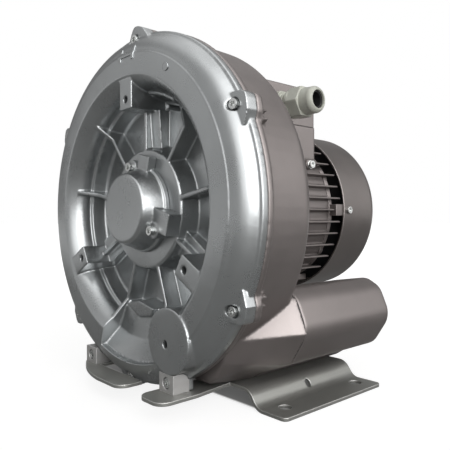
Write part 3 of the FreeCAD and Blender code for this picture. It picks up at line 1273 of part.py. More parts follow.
def folded_sheet():
    """Raised middle with a foot folded down at each side, as one outline pulled along Y."""
    t = PLATE_THICKNESS
    low = -SHAFT_HEIGHT
    top = PLATE_TOP_Z
    w, foot, deck = PLATE_HALF_WIDTH, PLATE_BEND_OUT, PLATE_BEND_IN
    slope = math.atan2(top - low - t, foot - deck)
    shift = t * math.tan(slope / 2)
    tight, wide = PLATE_BEND_RADIUS, PLATE_BEND_RADIUS + t
    half = (((deck, top), wide), ((foot, low + t), tight), ((w, low + t), 0), ((w, low), 0),
            ((foot - shift, low), wide), ((deck - shift, top - t), tight))
    other = [((-x, z), radius) for (x, z), radius in reversed(half)]
    corners = list(half) + other
    points = [point for point, radius in corners]
    radii = [radius for point, radius in corners]
    sheet = rounded_prism(points, radii, PLATE_FRONT_Y, PLATE_BACK_Y)
    return sheet.common(rounded_box(-w, w, PLATE_FRONT_Y, PLATE_BACK_Y, low - 1, top + 1, PLATE_CORNER))


def base_plate():
    t = PLATE_THICKNESS
    low = -SHAFT_HEIGHT
    top = PLATE_TOP_Z
    body = folded_sheet().fuse(front_tongue()).removeSplitter()
    cuts = []
    for sx in (-1, 1):
        for sy in (-1, 1):
            at = (sx * FOOT_SPACING_X / 2, FOOT_CENTRE_Y + sy * FOOT_SPACING_Y / 2)
            cuts.append(post(FOOT_HOLE_RADIUS, *at, low - 1, low + t + 1))
        for px, py in silencer_foot_places(sx):
            cuts.append(post(M5[0] + HOLE_SLACK, px, py, top - t - 1, top + 1))
        cuts.append(post(M5[0] + HOLE_SLACK, sx * BRACKET_X, bracket_centre_y(), top - t - 1, top + 1))
        bend = sx * (PLATE_BEND_OUT + PLATE_BEND_IN) / 2
        height = low + PLATE_SIDE_HOLE_HEIGHT
        cuts.append(spindle(PLATE_SIDE_HOLE_RADIUS, bend - 15, bend + 15, FOOT_CENTRE_Y, height))
    cuts.append(block(-HOUSING_SLOT_HALF_X, HOUSING_SLOT_HALF_X, WINDOW_BACK_Y - 1, HOUSING_DEPTH + 2,
                      top - 9, top + 9))
    return body.cut(Part.makeCompound(cuts))


def front_tongue():
    """Front of the base plate: two arms beside the flange, the left one hooked round in front."""
    top = PLATE_TOP_Z
    t = PLATE_THICKNESS
    s, f, y = TONGUE_BACK_HALF_WIDTH, TONGUE_HALF_WIDTH, TONGUE_FRONT_Y
    left = BRACKET_X + BRACKET_WIDTH / 2 + 1
    steps = ((-s, PLATE_FRONT_Y + 1), (-left, BRACKET_BACK_Y), (-left, BRACKET_FRONT_Y),
             ((-left + 26, -35), (-left + 60, y)), (f, y), (f, BRACKET_BACK_Y), (s, PLATE_FRONT_Y + 1))
    wire = profile_wire(steps, lambda a, b: vec(a, b, top - t))
    tongue = Part.Face(wire).extrude(vec(0, 0, t))
    window = block(-WINDOW_HALF_X, WINDOW_HALF_X, WINDOW_FRONT_Y, WINDOW_BACK_Y, top - 9, top + 9)
    notch = block(NOTCH_X, WINDOW_HALF_X, y - 5, WINDOW_FRONT_Y + 1, top - 9, top + 9)
    tongue = tongue.cut(window.fuse(notch))
    tips = [e for e in tongue.Edges if abs(e.BoundBox.YMax - y) < 0.01 and e.BoundBox.XLength < 0.01
            and e.BoundBox.XMin > 0]
    return tongue.makeFillet(11, tips)


def bracket_centre_y():
    return (BRACKET_FRONT_Y + BRACKET_BACK_Y) / 2


def front_bracket(side):
    """Foot block under the cover: screwed to it from the front and to the plate from below."""
    x = side * BRACKET_X
    half = BRACKET_WIDTH / 2
    body = block(x - half, x + half, BRACKET_FRONT_Y, BRACKET_BACK_Y,
                 PLATE_TOP_Z, PLATE_TOP_Z + BRACKET_HEIGHT)
    at = vec(x, 0, PLATE_TOP_Z + BRACKET_SCREW_HEIGHT)
    shank, head, height = M5
    cuts = [rod(shank + HOLE_SLACK, BRACKET_FRONT_Y - 1, BRACKET_BACK_Y + 1, at),
            rod(head + HEAD_SLACK, BRACKET_FRONT_Y - 1, BRACKET_FRONT_Y + 5, at),
            post(shank + THREAD_CLEARANCE, x, bracket_centre_y(), PLATE_TOP_Z - 1, PLATE_TOP_Z + 4),
            cover_envelope(HOLE_SLACK)]
    return body.cut(Part.makeCompound(cuts))


def bracket_screws():
    screws = []
    for side in (-1, 1):
        x = side * BRACKET_X
        front = vec(x, BRACKET_FRONT_Y + 5, PLATE_TOP_Z + BRACKET_SCREW_HEIGHT)
        below = vec(x, bracket_centre_y(), PLATE_TOP_Z - PLATE_THICKNESS)
        screws += [cap_screw(front, (0, 1, 0), 15, M5), cap_screw(below, (0, 0, 1), 6.4, M5)]
    return screws


def shaft_seal():
    y0 = IMPELLER_HUB_BACK_Y + 3
    return tube(20, SEAL_SEAT_RADIUS + 0.05, y0, y0 + 7)


def shaft_end_screw():
    """Screw and washer that clamp the inner ring, the spacer and the impeller on the shaft."""
    seat = FRONT_BEARING_Y - SHAFT_WASHER_THICKNESS
    washer = tube(JOURNAL_RADIUS + 3, M8[0] + HOLE_SLACK, seat, FRONT_BEARING_Y)
    return cap_screw(vec(0, seat, 0), (0, 1, 0), 20, M8), washer


def main():
    os.makedirs("parts", exist_ok=True)
    save("front_cover", front_cover())
    save("blower_housing", blower_housing())
    save("cover_seal", cover_seal())
    save("cover_screws", *cover_screws())
    save("bearing_cap", bearing_cap())
    save("bearing_cap_screws", *bearing_cap_screws())
    save("impeller", impeller())
    save("impeller_key", key_block())
    save("motor_shaft", motor_shaft())
    save("bearing_spacer", tube(JOURNAL_RADIUS + 2.5, JOURNAL_RADIUS, BEARING_WIDTH, WEB_FRONT_Y))
    save("shaft_end_screw", *shaft_end_screw())
    for name, y in (("front", FRONT_BEARING_Y), ("rear", REAR_BEARING_Y)):
        outer, inner, balls = bearing(y)
        save(name + "_bearing_outer_ring", outer)
        save(name + "_bearing_inner_ring", inner)
        save(name + "_bearing_balls_and_cage", *balls)
    save("shaft_seal", shaft_seal())
    save("motor_housing", motor_housing())
    save("earth_screw", *earth_screw())
    save("stator_core", stator_core())
    save("stator_windings", stator_windings())
    save("rotor_core", rotor_core())
    save("rear_end_shield", rear_end_shield())
    save("end_shield_screws", *end_shield_screws())
    save("motor_flange_screws", *motor_flange_screws())
    save("wave_spring", wave_spring())
    save("cooling_fan", cooling_fan())
    save("fan_retaining_ring", fan_retaining_ring())
    save("fan_cowl", fan_cowl())
    save("fan_cowl_screws", *fan_cowl_screws())
    save("terminal_box", terminal_box())
    save("terminal_box_gasket", terminal_box_gasket())
    save("terminal_box_lid", terminal_box_lid())
    save("terminal_lid_screws", *terminal_lid_screws())
    save("terminal_box_screws", *terminal_box_screws())
    save("terminal_board", terminal_board())
    save("terminal_studs", *terminal_studs())
    save("terminal_board_screws", *terminal_board_screws())
    save("gland_body", gland_body())
    save("gland_locknut", gland_locknut())
    save("gland_seal", gland_seal())
    save("gland_cap_nut", gland_cap_nut())
    for name, side in (("left", -1), ("right", 1)):
        save("silencer_" + name, silencer(side))
        save("silencer_foam_" + name, silencer_foam(side))
        save("silencer_tube_" + name, silencer_tube(side))
        save("silencer_gasket_" + name, silencer_gasket(side))
        save("port_flange_" + name, port_flange(side))
    save("port_flange_screws", *port_flange_screws())
    save("silencer_screws", *silencer_screws())
    save("base_plate", base_plate())
    save("front_brackets", front_bracket(-1), front_bracket(1))
    save("bracket_screws", *bracket_screws())


main()
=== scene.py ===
# %% [markdown]
# # A side channel blower
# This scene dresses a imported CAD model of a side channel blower. The castings, the motor and the
# silencers come from the frame in their real places and sizes. Here they get the soft edges of a
# casting, their paint, two marks on the cover and a small photo studio.

import json
import math

import bpy
from mathutils import Matrix, Vector


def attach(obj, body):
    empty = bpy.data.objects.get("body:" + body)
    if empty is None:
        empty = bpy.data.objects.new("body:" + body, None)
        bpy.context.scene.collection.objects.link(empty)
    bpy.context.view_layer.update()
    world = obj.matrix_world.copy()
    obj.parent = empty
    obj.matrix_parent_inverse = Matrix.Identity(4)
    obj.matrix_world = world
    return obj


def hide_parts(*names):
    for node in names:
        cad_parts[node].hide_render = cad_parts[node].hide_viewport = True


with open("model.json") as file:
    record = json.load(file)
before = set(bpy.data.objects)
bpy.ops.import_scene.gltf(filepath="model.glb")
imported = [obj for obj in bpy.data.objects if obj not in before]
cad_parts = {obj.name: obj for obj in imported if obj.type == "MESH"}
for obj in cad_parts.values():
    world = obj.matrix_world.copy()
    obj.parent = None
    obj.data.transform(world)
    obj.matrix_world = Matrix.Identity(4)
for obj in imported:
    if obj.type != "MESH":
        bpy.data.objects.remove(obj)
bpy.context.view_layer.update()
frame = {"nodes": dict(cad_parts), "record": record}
nodes = frame["nodes"]
print("CAD nodes:", len(nodes))

# %% [markdown]
# ## The camera
# The photograph was taken at about the height of the shaft, from the front and the right. The
# eye's place and the lens were worked out from the round flange, the base plate and the fan cowl.

# %% Camera
MM = 0.001
EYE = Vector((430.86, -392.73, 164.25)) * MM
TURN = math.radians(48.07)
DIP = math.radians(0.72)
ROLL = math.radians(-0.09)
LENS = 42.7
SENSOR_WIDTH = 36.0

ahead = Vector((-math.sin(TURN) * math.cos(DIP), math.cos(TURN) * math.cos(DIP), -math.sin(DIP)))
camera_data = bpy.data.cameras.new("studio_camera")
camera_data.lens = LENS
camera_data.sensor_width = SENSOR_WIDTH
camera = bpy.data.objects.new("studio_camera", camera_data)
bpy.context.collection.objects.link(camera)
facing = ahead.to_track_quat("-Z", "Y").to_matrix() @ Matrix.Rotation(ROLL, 3, "Z")
camera.matrix_world = Matrix.Translation(EYE) @ facing.to_4x4()
bpy.context.scene.camera = camera
print("camera at", tuple(round(v, 3) for v in EYE))

# %% [markdown]
# ## Shader maths
# A material is a small sum: noise here, a little more roughness there. Wrapping a socket in a
# class lets such a sum be written as Python, and each operator adds the node that does it.

# %% Signals and finishes
# Where a rectangle's soft edge starts, as a share of the way from its centre
SOFT_EDGE_START = 0.94
# How far two normals part on an edge, as one minus their cosine
EDGE_FAINT = 0.01
EDGE_CLEAR = 0.16
BEVEL_SAMPLES = 6
CORNER_SAMPLES = 6


class Signal:
    """The value that leaves a node, so that sums with it read as plain Python."""

    def __init__(self, finish, socket):
        self.finish = finish
        self.socket = socket

    def maths(self, operation, first, second):
        return self.finish.node("Math", {"operation": operation}, {0: first, 1: second})

    def __add__(self, other):
        return self.maths("ADD", self, other)

    def __sub__(self, other):
        return self.maths("SUBTRACT", self, other)

    def __mul__(self, other):
        return self.maths("MULTIPLY", self, other)

    def __rsub__(self, other):
        return self.maths("SUBTRACT", other, self)

    __radd__ = __add__
    __rmul__ = __mul__

    def larger(self, other):
        return self.maths("MAXIMUM", self, other)

    def size(self):
        """The value without its sign."""
        return self.maths("ABSOLUTE", self, 0.0)

    def spread(self, low, high):
        """Stretch the part between low and high to the whole way from 0 to 1."""
        return self.finish.node("MapRange", {}, {"Value": self, "From Min": low, "From Max": high})


class Shading:
    """A node tree, the shader at its end and the nodes that feed it."""

    def __init__(self, owner, shader):
        owner.use_nodes = True
        self.owner = owner
        self.tree = owner.node_tree
        self.shader = self.tree.nodes[shader]

    def node(self, kind, settings, values, output=0):
        """A node of one type, with its settings and the values or links of its sockets."""
        made = self.tree.nodes.new("ShaderNode" + kind)
        for name, value in settings.items():
            setattr(made, name, value)
        for key, value in values.items():
            self.feed(made.inputs[key], value)
        return Signal(self, made.outputs[output])

    def feed(self, socket, value):
        if isinstance(value, Signal):
            self.tree.links.new(value.socket, socket)
        else:
            socket.default_value = value

    def set(self, **values):
        for name, value in values.items():
            self.feed(self.shader.inputs[name.replace("_", " ")], value)
        return self.owner

    def dot(self, first, second):
        return self.node("VectorMath", {"operation": "DOT_PRODUCT"}, {0: first, 1: second}, "Value")

    def ray(self, kind):
        """1 for the rays of one kind, such as Camera, and 0 for all others."""
        return self.node("LightPath", {}, {}, "Is " + kind + " Ray")


class Finish(Shading):
    """One material, with its Principled shader."""

    def __init__(self, name):
        super().__init__(bpy.data.materials.new(name), "Principled BSDF")

    def place(self):
        return self.node("TexCoord", {}, {}, "Object")

    def noise(self, scale, detail=2.0, where=None):
        values = {"Vector": where or self.place(), "Scale": scale, "Detail": detail}
        return self.node("TexNoise", {}, values)

    def inside(self, centre, half):
        """1 where the object's own X and Y lie within a rectangle, and 0 outside it."""
        to_centre = (-centre[0], -centre[1], 0.0)
        offset = self.node("Mapping", {}, {"Vector": self.place(), "Location": to_centre})
        apart = [self.node("SeparateXYZ", {}, {0: offset}, axis) for axis in (0, 1)]
        across, along = [way.size() * (1.0 / limit) for way, limit in zip(apart, half)]
        return 1.0 - across.larger(along).spread(SOFT_EDGE_START, 1.0)

    def blend(self, amount, first, second):
        """A mix of two colours, through the colour sockets 6, 7 and 2 of a Mix node."""
        return self.node("Mix", {"data_type": "RGBA"}, {0: amount, 6: first, 7: second}, 2)

    def rounded(self, radius):
        """Normals that run over an edge as if it were rounded."""
        return self.node("Bevel", {"samples": BEVEL_SAMPLES}, {"Radius": radius})

    def edges(self, rounded_normal):
        """1 on an edge and 0 on a plain face."""
        plain = self.node("NewGeometry", {}, {}, "Normal")
        return (1.0 - self.dot(rounded_normal, plain)).spread(EDGE_FAINT, EDGE_CLEAR)

    def crevices(self, reach):
        """0 in the open and towards 1 deep in a corner."""
        open_sky = self.node("AmbientOcclusion", {"samples": CORNER_SAMPLES}, {"Distance": reach}, "AO")
        return 1.0 - open_sky

    def bump(self, height, depth, strength=1.0, normal=None):
        values = {"Height": height, "Distance": depth, "Strength": strength}
        if normal:
            values["Normal"] = normal
        return self.node("Bump", {}, values)


def rgba(red, green, blue):
    return (red, green, blue, 1.0)


def shade(colour, factor):
    """The same colour, lighter or darker."""
    return tuple(min(1.0, part * factor) for part in colour[:3]) + (1.0,)


# %% [markdown]
# ## Aluminium paint on castings
# The castings carry a silver-grey paint with aluminium flakes in it. It is neither a clean metal
# nor a flat paint: it has a cloudy tone over a hand's width and a fine orange peel that shows in
# the highlights. Its edges carry a thin painted highlight, and its corners a painted shade.

# %% Finish: cast paint
# Noise scales, from a hand's width down to a single flake
CLOUD_SCALE = 7.0
PATCH_SCALE = 38.0
COARSE_PEEL_SCALE = 620.0
FINE_PEEL_SCALE = 1700.0
FLAKE_SCALE = 1900.0
PEEL_DEPTH = 0.00006
# How far into corners the painted shade and the extra roughness reach
PAINTED_SHADE_REACH = 0.018
COAT_ROUGHNESS = 0.16


# The last two arguments set how dark the painted shade in corners is and how bright the painted
# highlight on edges is.
def cast_paint(name, colour, metallic, roughness, coat, edge=0.0009, grain=1.0, painted_shade=0.5, glow=2.2):
    paint = Finish(name)
    cloud = paint.noise(CLOUD_SCALE, 4.0)
    patch = paint.noise(PATCH_SCALE, 3.0)
    flake = paint.noise(FLAKE_SCALE, 1.0)
    soft = paint.rounded(edge)
    rim = paint.edges(soft)
    corner = paint.crevices(PAINTED_SHADE_REACH)
    tone = (cloud * 0.6 + patch * 0.25 + flake * 0.15).spread(0.3, 0.7)
    colour_now = paint.blend(tone, shade(colour, 0.86), shade(colour, 1.13))
    # Painted shade: deep in corners the colour is drawn darker, down to 0.28 of itself
    colour_now = paint.blend(corner * painted_shade, colour_now, shade(colour, 0.28))
    # Painted highlight: on edges the colour is drawn lighter, by the factor glow
    colour_now = paint.blend(rim * 0.55, colour_now, shade(colour, glow))
    peel = paint.noise(COARSE_PEEL_SCALE, 2.0) * 0.7 + paint.noise(FINE_PEEL_SCALE, 1.0) * 0.3
    relief = paint.bump(peel, PEEL_DEPTH * grain, 1.0, soft)
    rough = roughness + (patch - 0.5) * 0.12 + flake * 0.05 + corner * 0.2 - rim * 0.06
    return paint.set(Base_Color=colour_now, Roughness=rough, Metallic=metallic, Normal=relief,
                     Coat_Weight=coat, Coat_Roughness=COAT_ROUGHNESS)


silver = cast_paint("cast_silver", rgba(0.385, 0.398, 0.402), metallic=0.9, roughness=0.26,
                    coat=0.15, painted_shade=0.24, glow=2.1)
warm = cast_paint("cast_grey", rgba(0.245, 0.219, 0.212), metallic=0.75, roughness=0.38, coat=0.08)
cowl = cast_paint("cowl_paint", rgba(0.20, 0.180, 0.172), metallic=0.75, roughness=0.34,
                  coat=0.12, edge=0.0012, grain=0.6, glow=3.6)
plate = cast_paint("plate_paint", rgba(0.345, 0.345, 0.325), metallic=0.65, roughness=0.40,
                   coat=0.1, edge=0.0012, grain=0.6, glow=3.0)
worn = cast_paint("bracket_cast", rgba(0.62, 0.61, 0.60), metallic=0.75, roughness=0.36, coat=0.1)
print("paints:", silver.name, warm.name, cowl.name, plate.name, worn.name)

# %% [markdown]
# ## Bare metals
# Screws are zinc plated, shaft and bearings are ground steel, the impeller is a bare casting. They
# share one recipe: a metal colour, fine scratches drawn out along one direction, and a little stain.

# %% Finish: bare metal
METAL_STAIN_SCALE = 60.0
SCRATCH_DEPTH = 0.00002
METAL_EDGE = 0.0004
EVEN = (1.0, 1.0, 1.0)
DRAWN_ALONG_Y = (1.0, 14.0, 1.0)
DRAWN_ALONG_Z = (1.0, 1.0, 14.0)


def bare_metal(name, colour, roughness, stretch=DRAWN_ALONG_Z, scale=420.0):
    metal = Finish(name)
    along = metal.node("Mapping", {}, {"Vector": metal.place(), "Scale": stretch})
    scratch = metal.noise(scale, 2.0, along)
    stain = metal.noise(METAL_STAIN_SCALE, 3.0)
    soft = metal.rounded(METAL_EDGE)
    rim = metal.edges(soft)
    colour_now = metal.blend(stain.spread(0.35, 0.65), shade(colour, 0.8), shade(colour, 1.1))
    # Painted highlight: on edges the colour is drawn lighter
    colour_now = metal.blend(rim * 0.5, colour_now, shade(colour, 1.35))
    rough = roughness + (scratch - 0.5) * 0.16 + (stain - 0.5) * 0.1
    relief = metal.bump(scratch, SCRATCH_DEPTH, 0.6, soft)
    return metal.set(Base_Color=colour_now, Roughness=rough, Metallic=1.0, Normal=relief)


zinc = bare_metal("zinc_screw", rgba(0.62, 0.63, 0.62), 0.26, EVEN, scale=900.0)
bare_cast = bare_metal("impeller_aluminium", rgba(0.55, 0.56, 0.57), 0.4, EVEN, scale=700.0)
steel = bare_metal("shaft_steel", rgba(0.46, 0.46, 0.47), 0.24, DRAWN_ALONG_Y)
perforated = bare_metal("perforated_steel", rgba(0.42, 0.42, 0.42), 0.35)
brass = bare_metal("terminal_brass", rgba(0.62, 0.44, 0.17), 0.28)
print("metals made")

# %% [markdown]
# ## Electrical sheet and copper
# The cores are stacks of thin sheets, so they carry fine bands across the shaft. The copper ends
# are bundles of varnished wire.

# %% Finish: laminations and copper
# A wave texture of scale 1 has about this many bands to the metre
BANDS_PER_SCALE = 3.2
SHEET_PITCH = 0.001
WIRE_PITCH = 0.0012
BAND_DEPTH = 0.00012
BAND_STAIN_SCALE = 70.0


def banded(name, light, dark, pitch, metallic, roughness):
    stack = Finish(name)
    values = {"Vector": stack.place(), "Scale": 1.0 / pitch / BANDS_PER_SCALE, "Distortion": 0.6,
              "Detail": 1.0}
    bands = stack.node("TexWave", {"bands_direction": "Y"}, values)
    stain = stack.noise(BAND_STAIN_SCALE, 3.0)
    colour_now = stack.blend(bands * 0.7 + stain * 0.3, dark, light)
    relief = stack.bump(bands, BAND_DEPTH)
    return stack.set(Base_Color=colour_now, Roughness=roughness + stain * 0.15, Metallic=metallic,
                     Normal=relief)


sheets = banded("lamination_steel", rgba(0.32, 0.32, 0.34), rgba(0.12, 0.12, 0.13), SHEET_PITCH,
                metallic=0.9, roughness=0.35)
copper = banded("winding", rgba(0.60, 0.25, 0.10), rgba(0.22, 0.07, 0.03), WIRE_PITCH,
                metallic=0.55, roughness=0.3)
print("electrical finishes made")

# %% [markdown]
# ## Rubber, plastic and foam
# Moulded parts are quiet surfaces. What gives them away is a fine spark-eroded grain, a slightly
# uneven gloss and dust, which is lighter than black rubber and darker than pale plastic.

# %% Finish: moulded parts
HAZE_SCALE = 45.0
MOULD_GRAIN_SCALE = 1100.0
MOULD_GRAIN_DEPTH = 0.00003
MOULD_EDGE = 0.0005
DUST_REACH = 0.01
FOAM_CELL_SCALE = 380.0
FOAM_CELL_DEPTH = 0.0009


def moulded(name, colour, roughness, dust, dust_amount=0.25, grain=MOULD_GRAIN_SCALE,
            depth=MOULD_GRAIN_DEPTH):
    skin = Finish(name)
    haze = skin.noise(HAZE_SCALE, 4.0)
    fine = skin.noise(grain, 2.0)
    soft = skin.rounded(MOULD_EDGE)
    rim = skin.edges(soft)
    corner = skin.crevices(DUST_REACH)
    tone = (haze * 0.7 + fine * 0.3).spread(0.3, 0.7)
    colour_now = skin.blend(tone, shade(colour, 0.9), shade(colour, 1.08))
    colour_now = skin.blend(haze.spread(0.45, 0.75) * dust_amount + corner * 0.25, colour_now, dust)
    # Painted highlight: on edges the colour is drawn lighter
    colour_now = skin.blend(rim * 0.3, colour_now, shade(colour, 1.25))
    relief = skin.bump(fine, depth, 0.8, soft)
    return skin.set(Base_Color=colour_now, Roughness=roughness + (haze - 0.5) * 0.2, Normal=relief)


rubber = moulded("rubber_black", rgba(0.018, 0.018, 0.019), 0.62, rgba(0.10, 0.095, 0.09))
gland_rubber = moulded("gland_rubber", rgba(0.016, 0.016, 0.017), 0.55, rgba(0.06, 0.06, 0.06), 0.15)
fan_plastic = moulded("fan_plastic", rgba(0.022, 0.023, 0.025), 0.45, rgba(0.12, 0.115, 0.11))
gland_plastic = moulded("gland_plastic", rgba(0.66, 0.67, 0.59), 0.34, rgba(0.42, 0.42, 0.37), 0.2)
board = moulded("board_plastic", rgba(0.30, 0.17, 0.08), 0.5, rgba(0.16, 0.13, 0.10))
foam = moulded("foam_grey", rgba(0.06, 0.06, 0.065), 0.95, rgba(0.13, 0.125, 0.12), 0.35,
               FOAM_CELL_SCALE, FOAM_CELL_DEPTH)
print("moulded finishes made")

# %% [markdown]
# ## Painting the CAD nodes
# The record says which material slot each node takes. Each slot has one finish here, and the
# node's own material is swapped for it. The meshes stay as they are.

# %% Paint the nodes
finishes = {
    "cast_silver": silver, "cast_grey": warm, "cowl_paint": cowl, "plate_paint": plate,
    "bracket_cast": worn, "zinc_screw": zinc, "impeller_aluminium": bare_cast, "shaft_steel": steel,
    "lamination_steel": sheets, "winding": copper, "rubber_black": rubber, "gland_rubber": gland_rubber,
    "fan_plastic": fan_plastic, "gland_plastic": gland_plastic, "board_plastic": board,
    "terminal_brass": brass, "foam_grey": foam, "perforated_steel": perforated,
}
slot_of = {part["node"]: part["material_slot"] for part in frame["record"]["subparts"]}
for name, node in nodes.items():
    node.data.materials.clear()
    node.data.materials.append(finishes[slot_of[name]])
print("painted", len(nodes), "nodes")

# %% [markdown]
# ## Castings with soft corners
# The solids have knife-sharp corners, and a real casting has none: the mould leaves every edge and
# every inside corner round. A copy of the node is joined into one skin, turned into a fine even
# grid by a voxel remesh, smoothed a little, and thinned again to a sensible number of triangles.
# The CAD node itself is left alone and is only hidden.

# %% Working with one piece at a time
MERGE_DISTANCE = 0.00001


def only(piece):
    bpy.ops.object.select_all(action="DESELECT")
    piece.select_set(True)
    bpy.context.view_layer.objects.active = piece


def apply_modifier(piece, kind, **settings):
    modifier = piece.modifiers.new(kind.lower(), kind)
    for name, value in settings.items():
        setattr(modifier, name, value)
    only(piece)
    bpy.ops.object.modifier_apply(modifier=modifier.name)


def joined_copy(name, copy_name):
    """A copy of a CAD node whose loose triangles are merged into one skin."""
    piece = bpy.data.objects.new(copy_name, nodes[name].data.copy())
    bpy.context.collection.objects.link(piece)
    only(piece)
    bpy.ops.object.mode_set(mode="EDIT")
    bpy.ops.mesh.select_all(action="SELECT")
    bpy.ops.mesh.remove_doubles(threshold=MERGE_DISTANCE)
    bpy.ops.object.mode_set(mode="OBJECT")
    return piece


def stand_in(piece, name):
    """The piece rides on the root body, stands for a CAD node and takes that node's finish."""
    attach(piece, "root")
    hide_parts(name)
    piece.data.materials.clear()
    piece.data.materials.append(finishes[slot_of[name]])


# %% Soft castings
MOST_TRIANGLES = 190000
SMOOTHING = 0.5
# Cell of the remesh in metres, and rounds of smoothing
SOFT_CASTINGS = {
    "front_cover": (0.0008, 2), "blower_housing": (0.0013, 2), "bearing_cap": (0.0006, 3),
    "motor_housing": (0.0011, 2), "gland_cap_nut": (0.0004, 2), "gland_body": (0.0004, 2),
    "silencer_left": (0.0014, 3), "silencer_right": (0.0014, 3),
}


def soft_casting(name, cell, rounds):
    piece = joined_copy(name, name + "_casting")
    apply_modifier(piece, "REMESH", mode="VOXEL", voxel_size=cell)
    apply_modifier(piece, "SMOOTH", factor=SMOOTHING, iterations=rounds)
    triangles = 2 * len(piece.data.polygons)
    if triangles > MOST_TRIANGLES:
        apply_modifier(piece, "DECIMATE", ratio=MOST_TRIANGLES / triangles)
    only(piece)
    bpy.ops.object.shade_smooth()
    stand_in(piece, name)
    print(name, "softened:", triangles, "triangles before thinning")
    return piece


castings = {name: soft_casting(name, cell, rounds) for name, (cell, rounds) in SOFT_CASTINGS.items()}

# %% [markdown]
# ## Marks cast into the cover
# At the top of the bulge the mould left a raised arrow, and beside it a small round mark. Each is a
# flat outline that is pressed onto the cover's skin from the front and then given a thickness.

# %% Cast marks
# Outlines are in millimetres, from the middle of the mark
ARROW = ((-14, 0), (-6, -6), (-6, -2.4), (11, -2.4), (11, -6), (15, -6), (15, 6), (11, 6), (11, 2.4),
         (-6, 2.4), (-6, 6))
ARROW_CENTRE = Vector((0.001, -0.160, 0.315))
ROUND_MARK_CENTRE = Vector((0.066, -0.160, 0.291))
ROUND_MARK_RADIUS = 3.6
ROUND_MARK_CORNERS = 18
MARK_HEIGHT = 0.0008
MARK_CUTS = 5


def cast_mark(name, outline, centre):
    """An outline in millimetres, laid on the front of the cover as a raised mark."""
    mesh = bpy.data.meshes.new(name)
    corners = [centre + Vector((across, 0.0, up)) * MM for across, up in outline]
    mesh.from_pydata(corners, [], [list(range(len(corners)))])
    piece = bpy.data.objects.new(name, mesh)
    bpy.context.collection.objects.link(piece)
    only(piece)
    bpy.ops.object.mode_set(mode="EDIT")
    bpy.ops.mesh.select_all(action="SELECT")
    bpy.ops.mesh.quads_convert_to_tris()
    bpy.ops.mesh.subdivide(number_cuts=MARK_CUTS)
    bpy.ops.object.mode_set(mode="OBJECT")
    apply_modifier(piece, "SHRINKWRAP", wrap_method="PROJECT", use_project_x=False, use_project_y=True,
                   use_project_z=False, use_positive_direction=True, use_negative_direction=True,
                   target=castings["front_cover"], offset=MARK_HEIGHT, wrap_mode="ABOVE_SURFACE")
    apply_modifier(piece, "SOLIDIFY", thickness=2 * MARK_HEIGHT, offset=-1.0)
    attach(piece, "root")
    piece.data.materials.append(silver)
    print(name, "has", len(piece.data.polygons), "faces")


turns = [math.tau * step / ROUND_MARK_CORNERS for step in range(ROUND_MARK_CORNERS)]
ring = [(ROUND_MARK_RADIUS * math.cos(turn), ROUND_MARK_RADIUS * math.sin(turn)) for turn in turns]
cast_mark("cast_arrow", ARROW, ARROW_CENTRE)
cast_mark("round_mark", ring, ROUND_MARK_CENTRE)

# %% [markdown]
# ## The studio
# The floor and the surround are white to the eye, except a painted shadow under the base plate.
# The paint is half a mirror, so what it reflects matters more: the world shows it a dim room with
# a bright wall on the right, which draws the band down the bulge and the patch inside the left
# wall, a weaker front and a bright ceiling. The four lamps only add soft light.

# %% Floor and world
FLOOR_SIZE = 30.0
FLOOR_DROP = 0.0002
FLOOR_DARK = rgba(0.22, 0.22, 0.215)
FLOOR_LIGHT = rgba(0.27, 0.27, 0.265)
FLOOR_CLOUD_SCALE = 3.0
WHITE = rgba(1.0, 1.0, 1.0)

# The floor's glow to the eye near the blower, and the distances between which it turns white
FLOOR_LIFT = 0.86
FLOOR_WHITENS = (0.35, 1.1)
# Painted shadow: the glow's share cut under the base plate, and where: two middles and half sizes
PAINTED_SHADOW_DEPTH = 0.9
UNDER_FEET = ((0.0, 0.0), (0.144, 0.068))
UNDER_FRONT = ((-0.07, -0.015), (0.05, 0.085))

# The floor's glow in a mirror near the blower and far away, and the distances between the two
FLOOR_IN_MIRROR = 0.08
FAR_FLOOR_IN_MIRROR = 0.9
FAR_FLOOR = (1.0, 3.5)

# The room's light on dull paint, and what a mirror sees of the room where no part of it is bright
ROOM_LIGHT = 0.27
ROOM_IN_MIRROR = 0.24
# Direction, the two cosines between which it rises, and strength of each bright part
BRIGHT_WALL = ((0.93, -0.10, 0.35), 0.32, 0.74, 2.1)
BRIGHT_FRONT = ((-0.20, -0.85, 0.49), 0.45, 0.90, 0.36)
BRIGHT_CEILING = ((-0.15, 0.10, 0.98), 0.70, 0.98, 0.8)


class Surround(Shading):
    """The world's Background shader, built like a material."""

    def __init__(self, name):
        super().__init__(bpy.data.worlds.new(name), "Background")


def white_surround():
    """White to the eye; polished metal sees a dim room with a bright wall, front and ceiling."""
    room = Surround("studio_world")
    to_eye = room.ray("Camera")
    to_gloss = room.ray("Glossy")
    through = room.ray("Transmission")
    direction = room.node("TexCoord", {}, {}, "Generated")
    mirror = ROOM_IN_MIRROR
    for towards, low, high, strength in (BRIGHT_WALL, BRIGHT_FRONT, BRIGHT_CEILING):
        part = room.node("MapRange", {"interpolation_type": "SMOOTHSTEP"},
                         {"Value": room.dot(direction, towards), "From Min": low, "From Max": high})
        mirror = part * strength + mirror
    other = 1.0 - (to_eye + to_gloss + through)
    strength_now = to_eye + through + to_gloss * mirror + other * ROOM_LIGHT
    return room.set(Color=WHITE, Strength=strength_now)


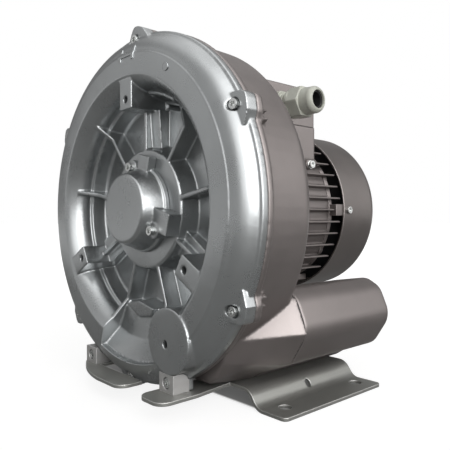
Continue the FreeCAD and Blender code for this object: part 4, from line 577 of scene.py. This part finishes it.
def floor_finish():
    """Pale paint that shows as white to the eye, with a painted shadow under the base plate."""
    ground = Finish("floor_paint")
    colour_now = ground.blend(ground.noise(FLOOR_CLOUD_SCALE, 3.0), FLOOR_DARK, FLOOR_LIGHT)
    away = ground.node("VectorMath", {"operation": "LENGTH"}, {0: ground.place()}, "Value")
    # Painted shadow: under the base plate and its front, the floor's glow to the eye is cut
    painted_shadow = ground.inside(*UNDER_FEET).larger(ground.inside(*UNDER_FRONT))
    lift = away.spread(*FLOOR_WHITENS) * (1.0 - FLOOR_LIFT) + FLOOR_LIFT
    far = away.spread(*FAR_FLOOR) * (FAR_FLOOR_IN_MIRROR - FLOOR_IN_MIRROR) + FLOOR_IN_MIRROR
    glow = ground.ray("Camera") * lift * (1.0 - painted_shadow * PAINTED_SHADOW_DEPTH) + ground.ray("Glossy") * far
    return ground.set(Base_Color=colour_now, Roughness=0.9, Emission_Color=WHITE,
                      Emission_Strength=glow)


bpy.ops.mesh.primitive_plane_add(size=FLOOR_SIZE, location=(0.0, 0.0, -FLOOR_DROP))
floor = bpy.context.object
floor.name = "studio_floor"
floor.data.materials.append(floor_finish())
bpy.context.scene.world = white_surround()
print("floor and world made")

# %% Lamps
BLOWER_MIDDLE = Vector((0.0, -0.05, 0.17))
# Place, width, height and power of each lamp
SOFT_BOXES = {
    "key_box": ((1.5, -0.55, 0.70), 1.2, 1.2, 14.0),
    "fill_box": ((-1.3, -1.2, 0.8), 0.8, 1.2, 0.5),
    "top_box": ((0.3, 0.1, 1.7), 1.6, 1.6, 2.6),
    "rear_box": ((-1.5, 1.1, 0.45), 1.0, 1.0, 3.0),
}


def soft_box(name, place, width, height, power):
    """A rectangular lamp at a place, turned towards the blower."""
    data = bpy.data.lights.new(name, "AREA")
    data.shape = "RECTANGLE"
    data.size = width
    data.size_y = height
    data.energy = power
    lamp = bpy.data.objects.new(name, data)
    bpy.context.collection.objects.link(lamp)
    aim = (BLOWER_MIDDLE - Vector(place)).to_track_quat("-Z", "Y").to_matrix()
    lamp.matrix_world = Matrix.Translation(Vector(place)) @ aim.to_4x4()


for name, settings in SOFT_BOXES.items():
    soft_box(name, *settings)
bpy.context.scene.view_settings.view_transform = "Standard"
print("studio lit")
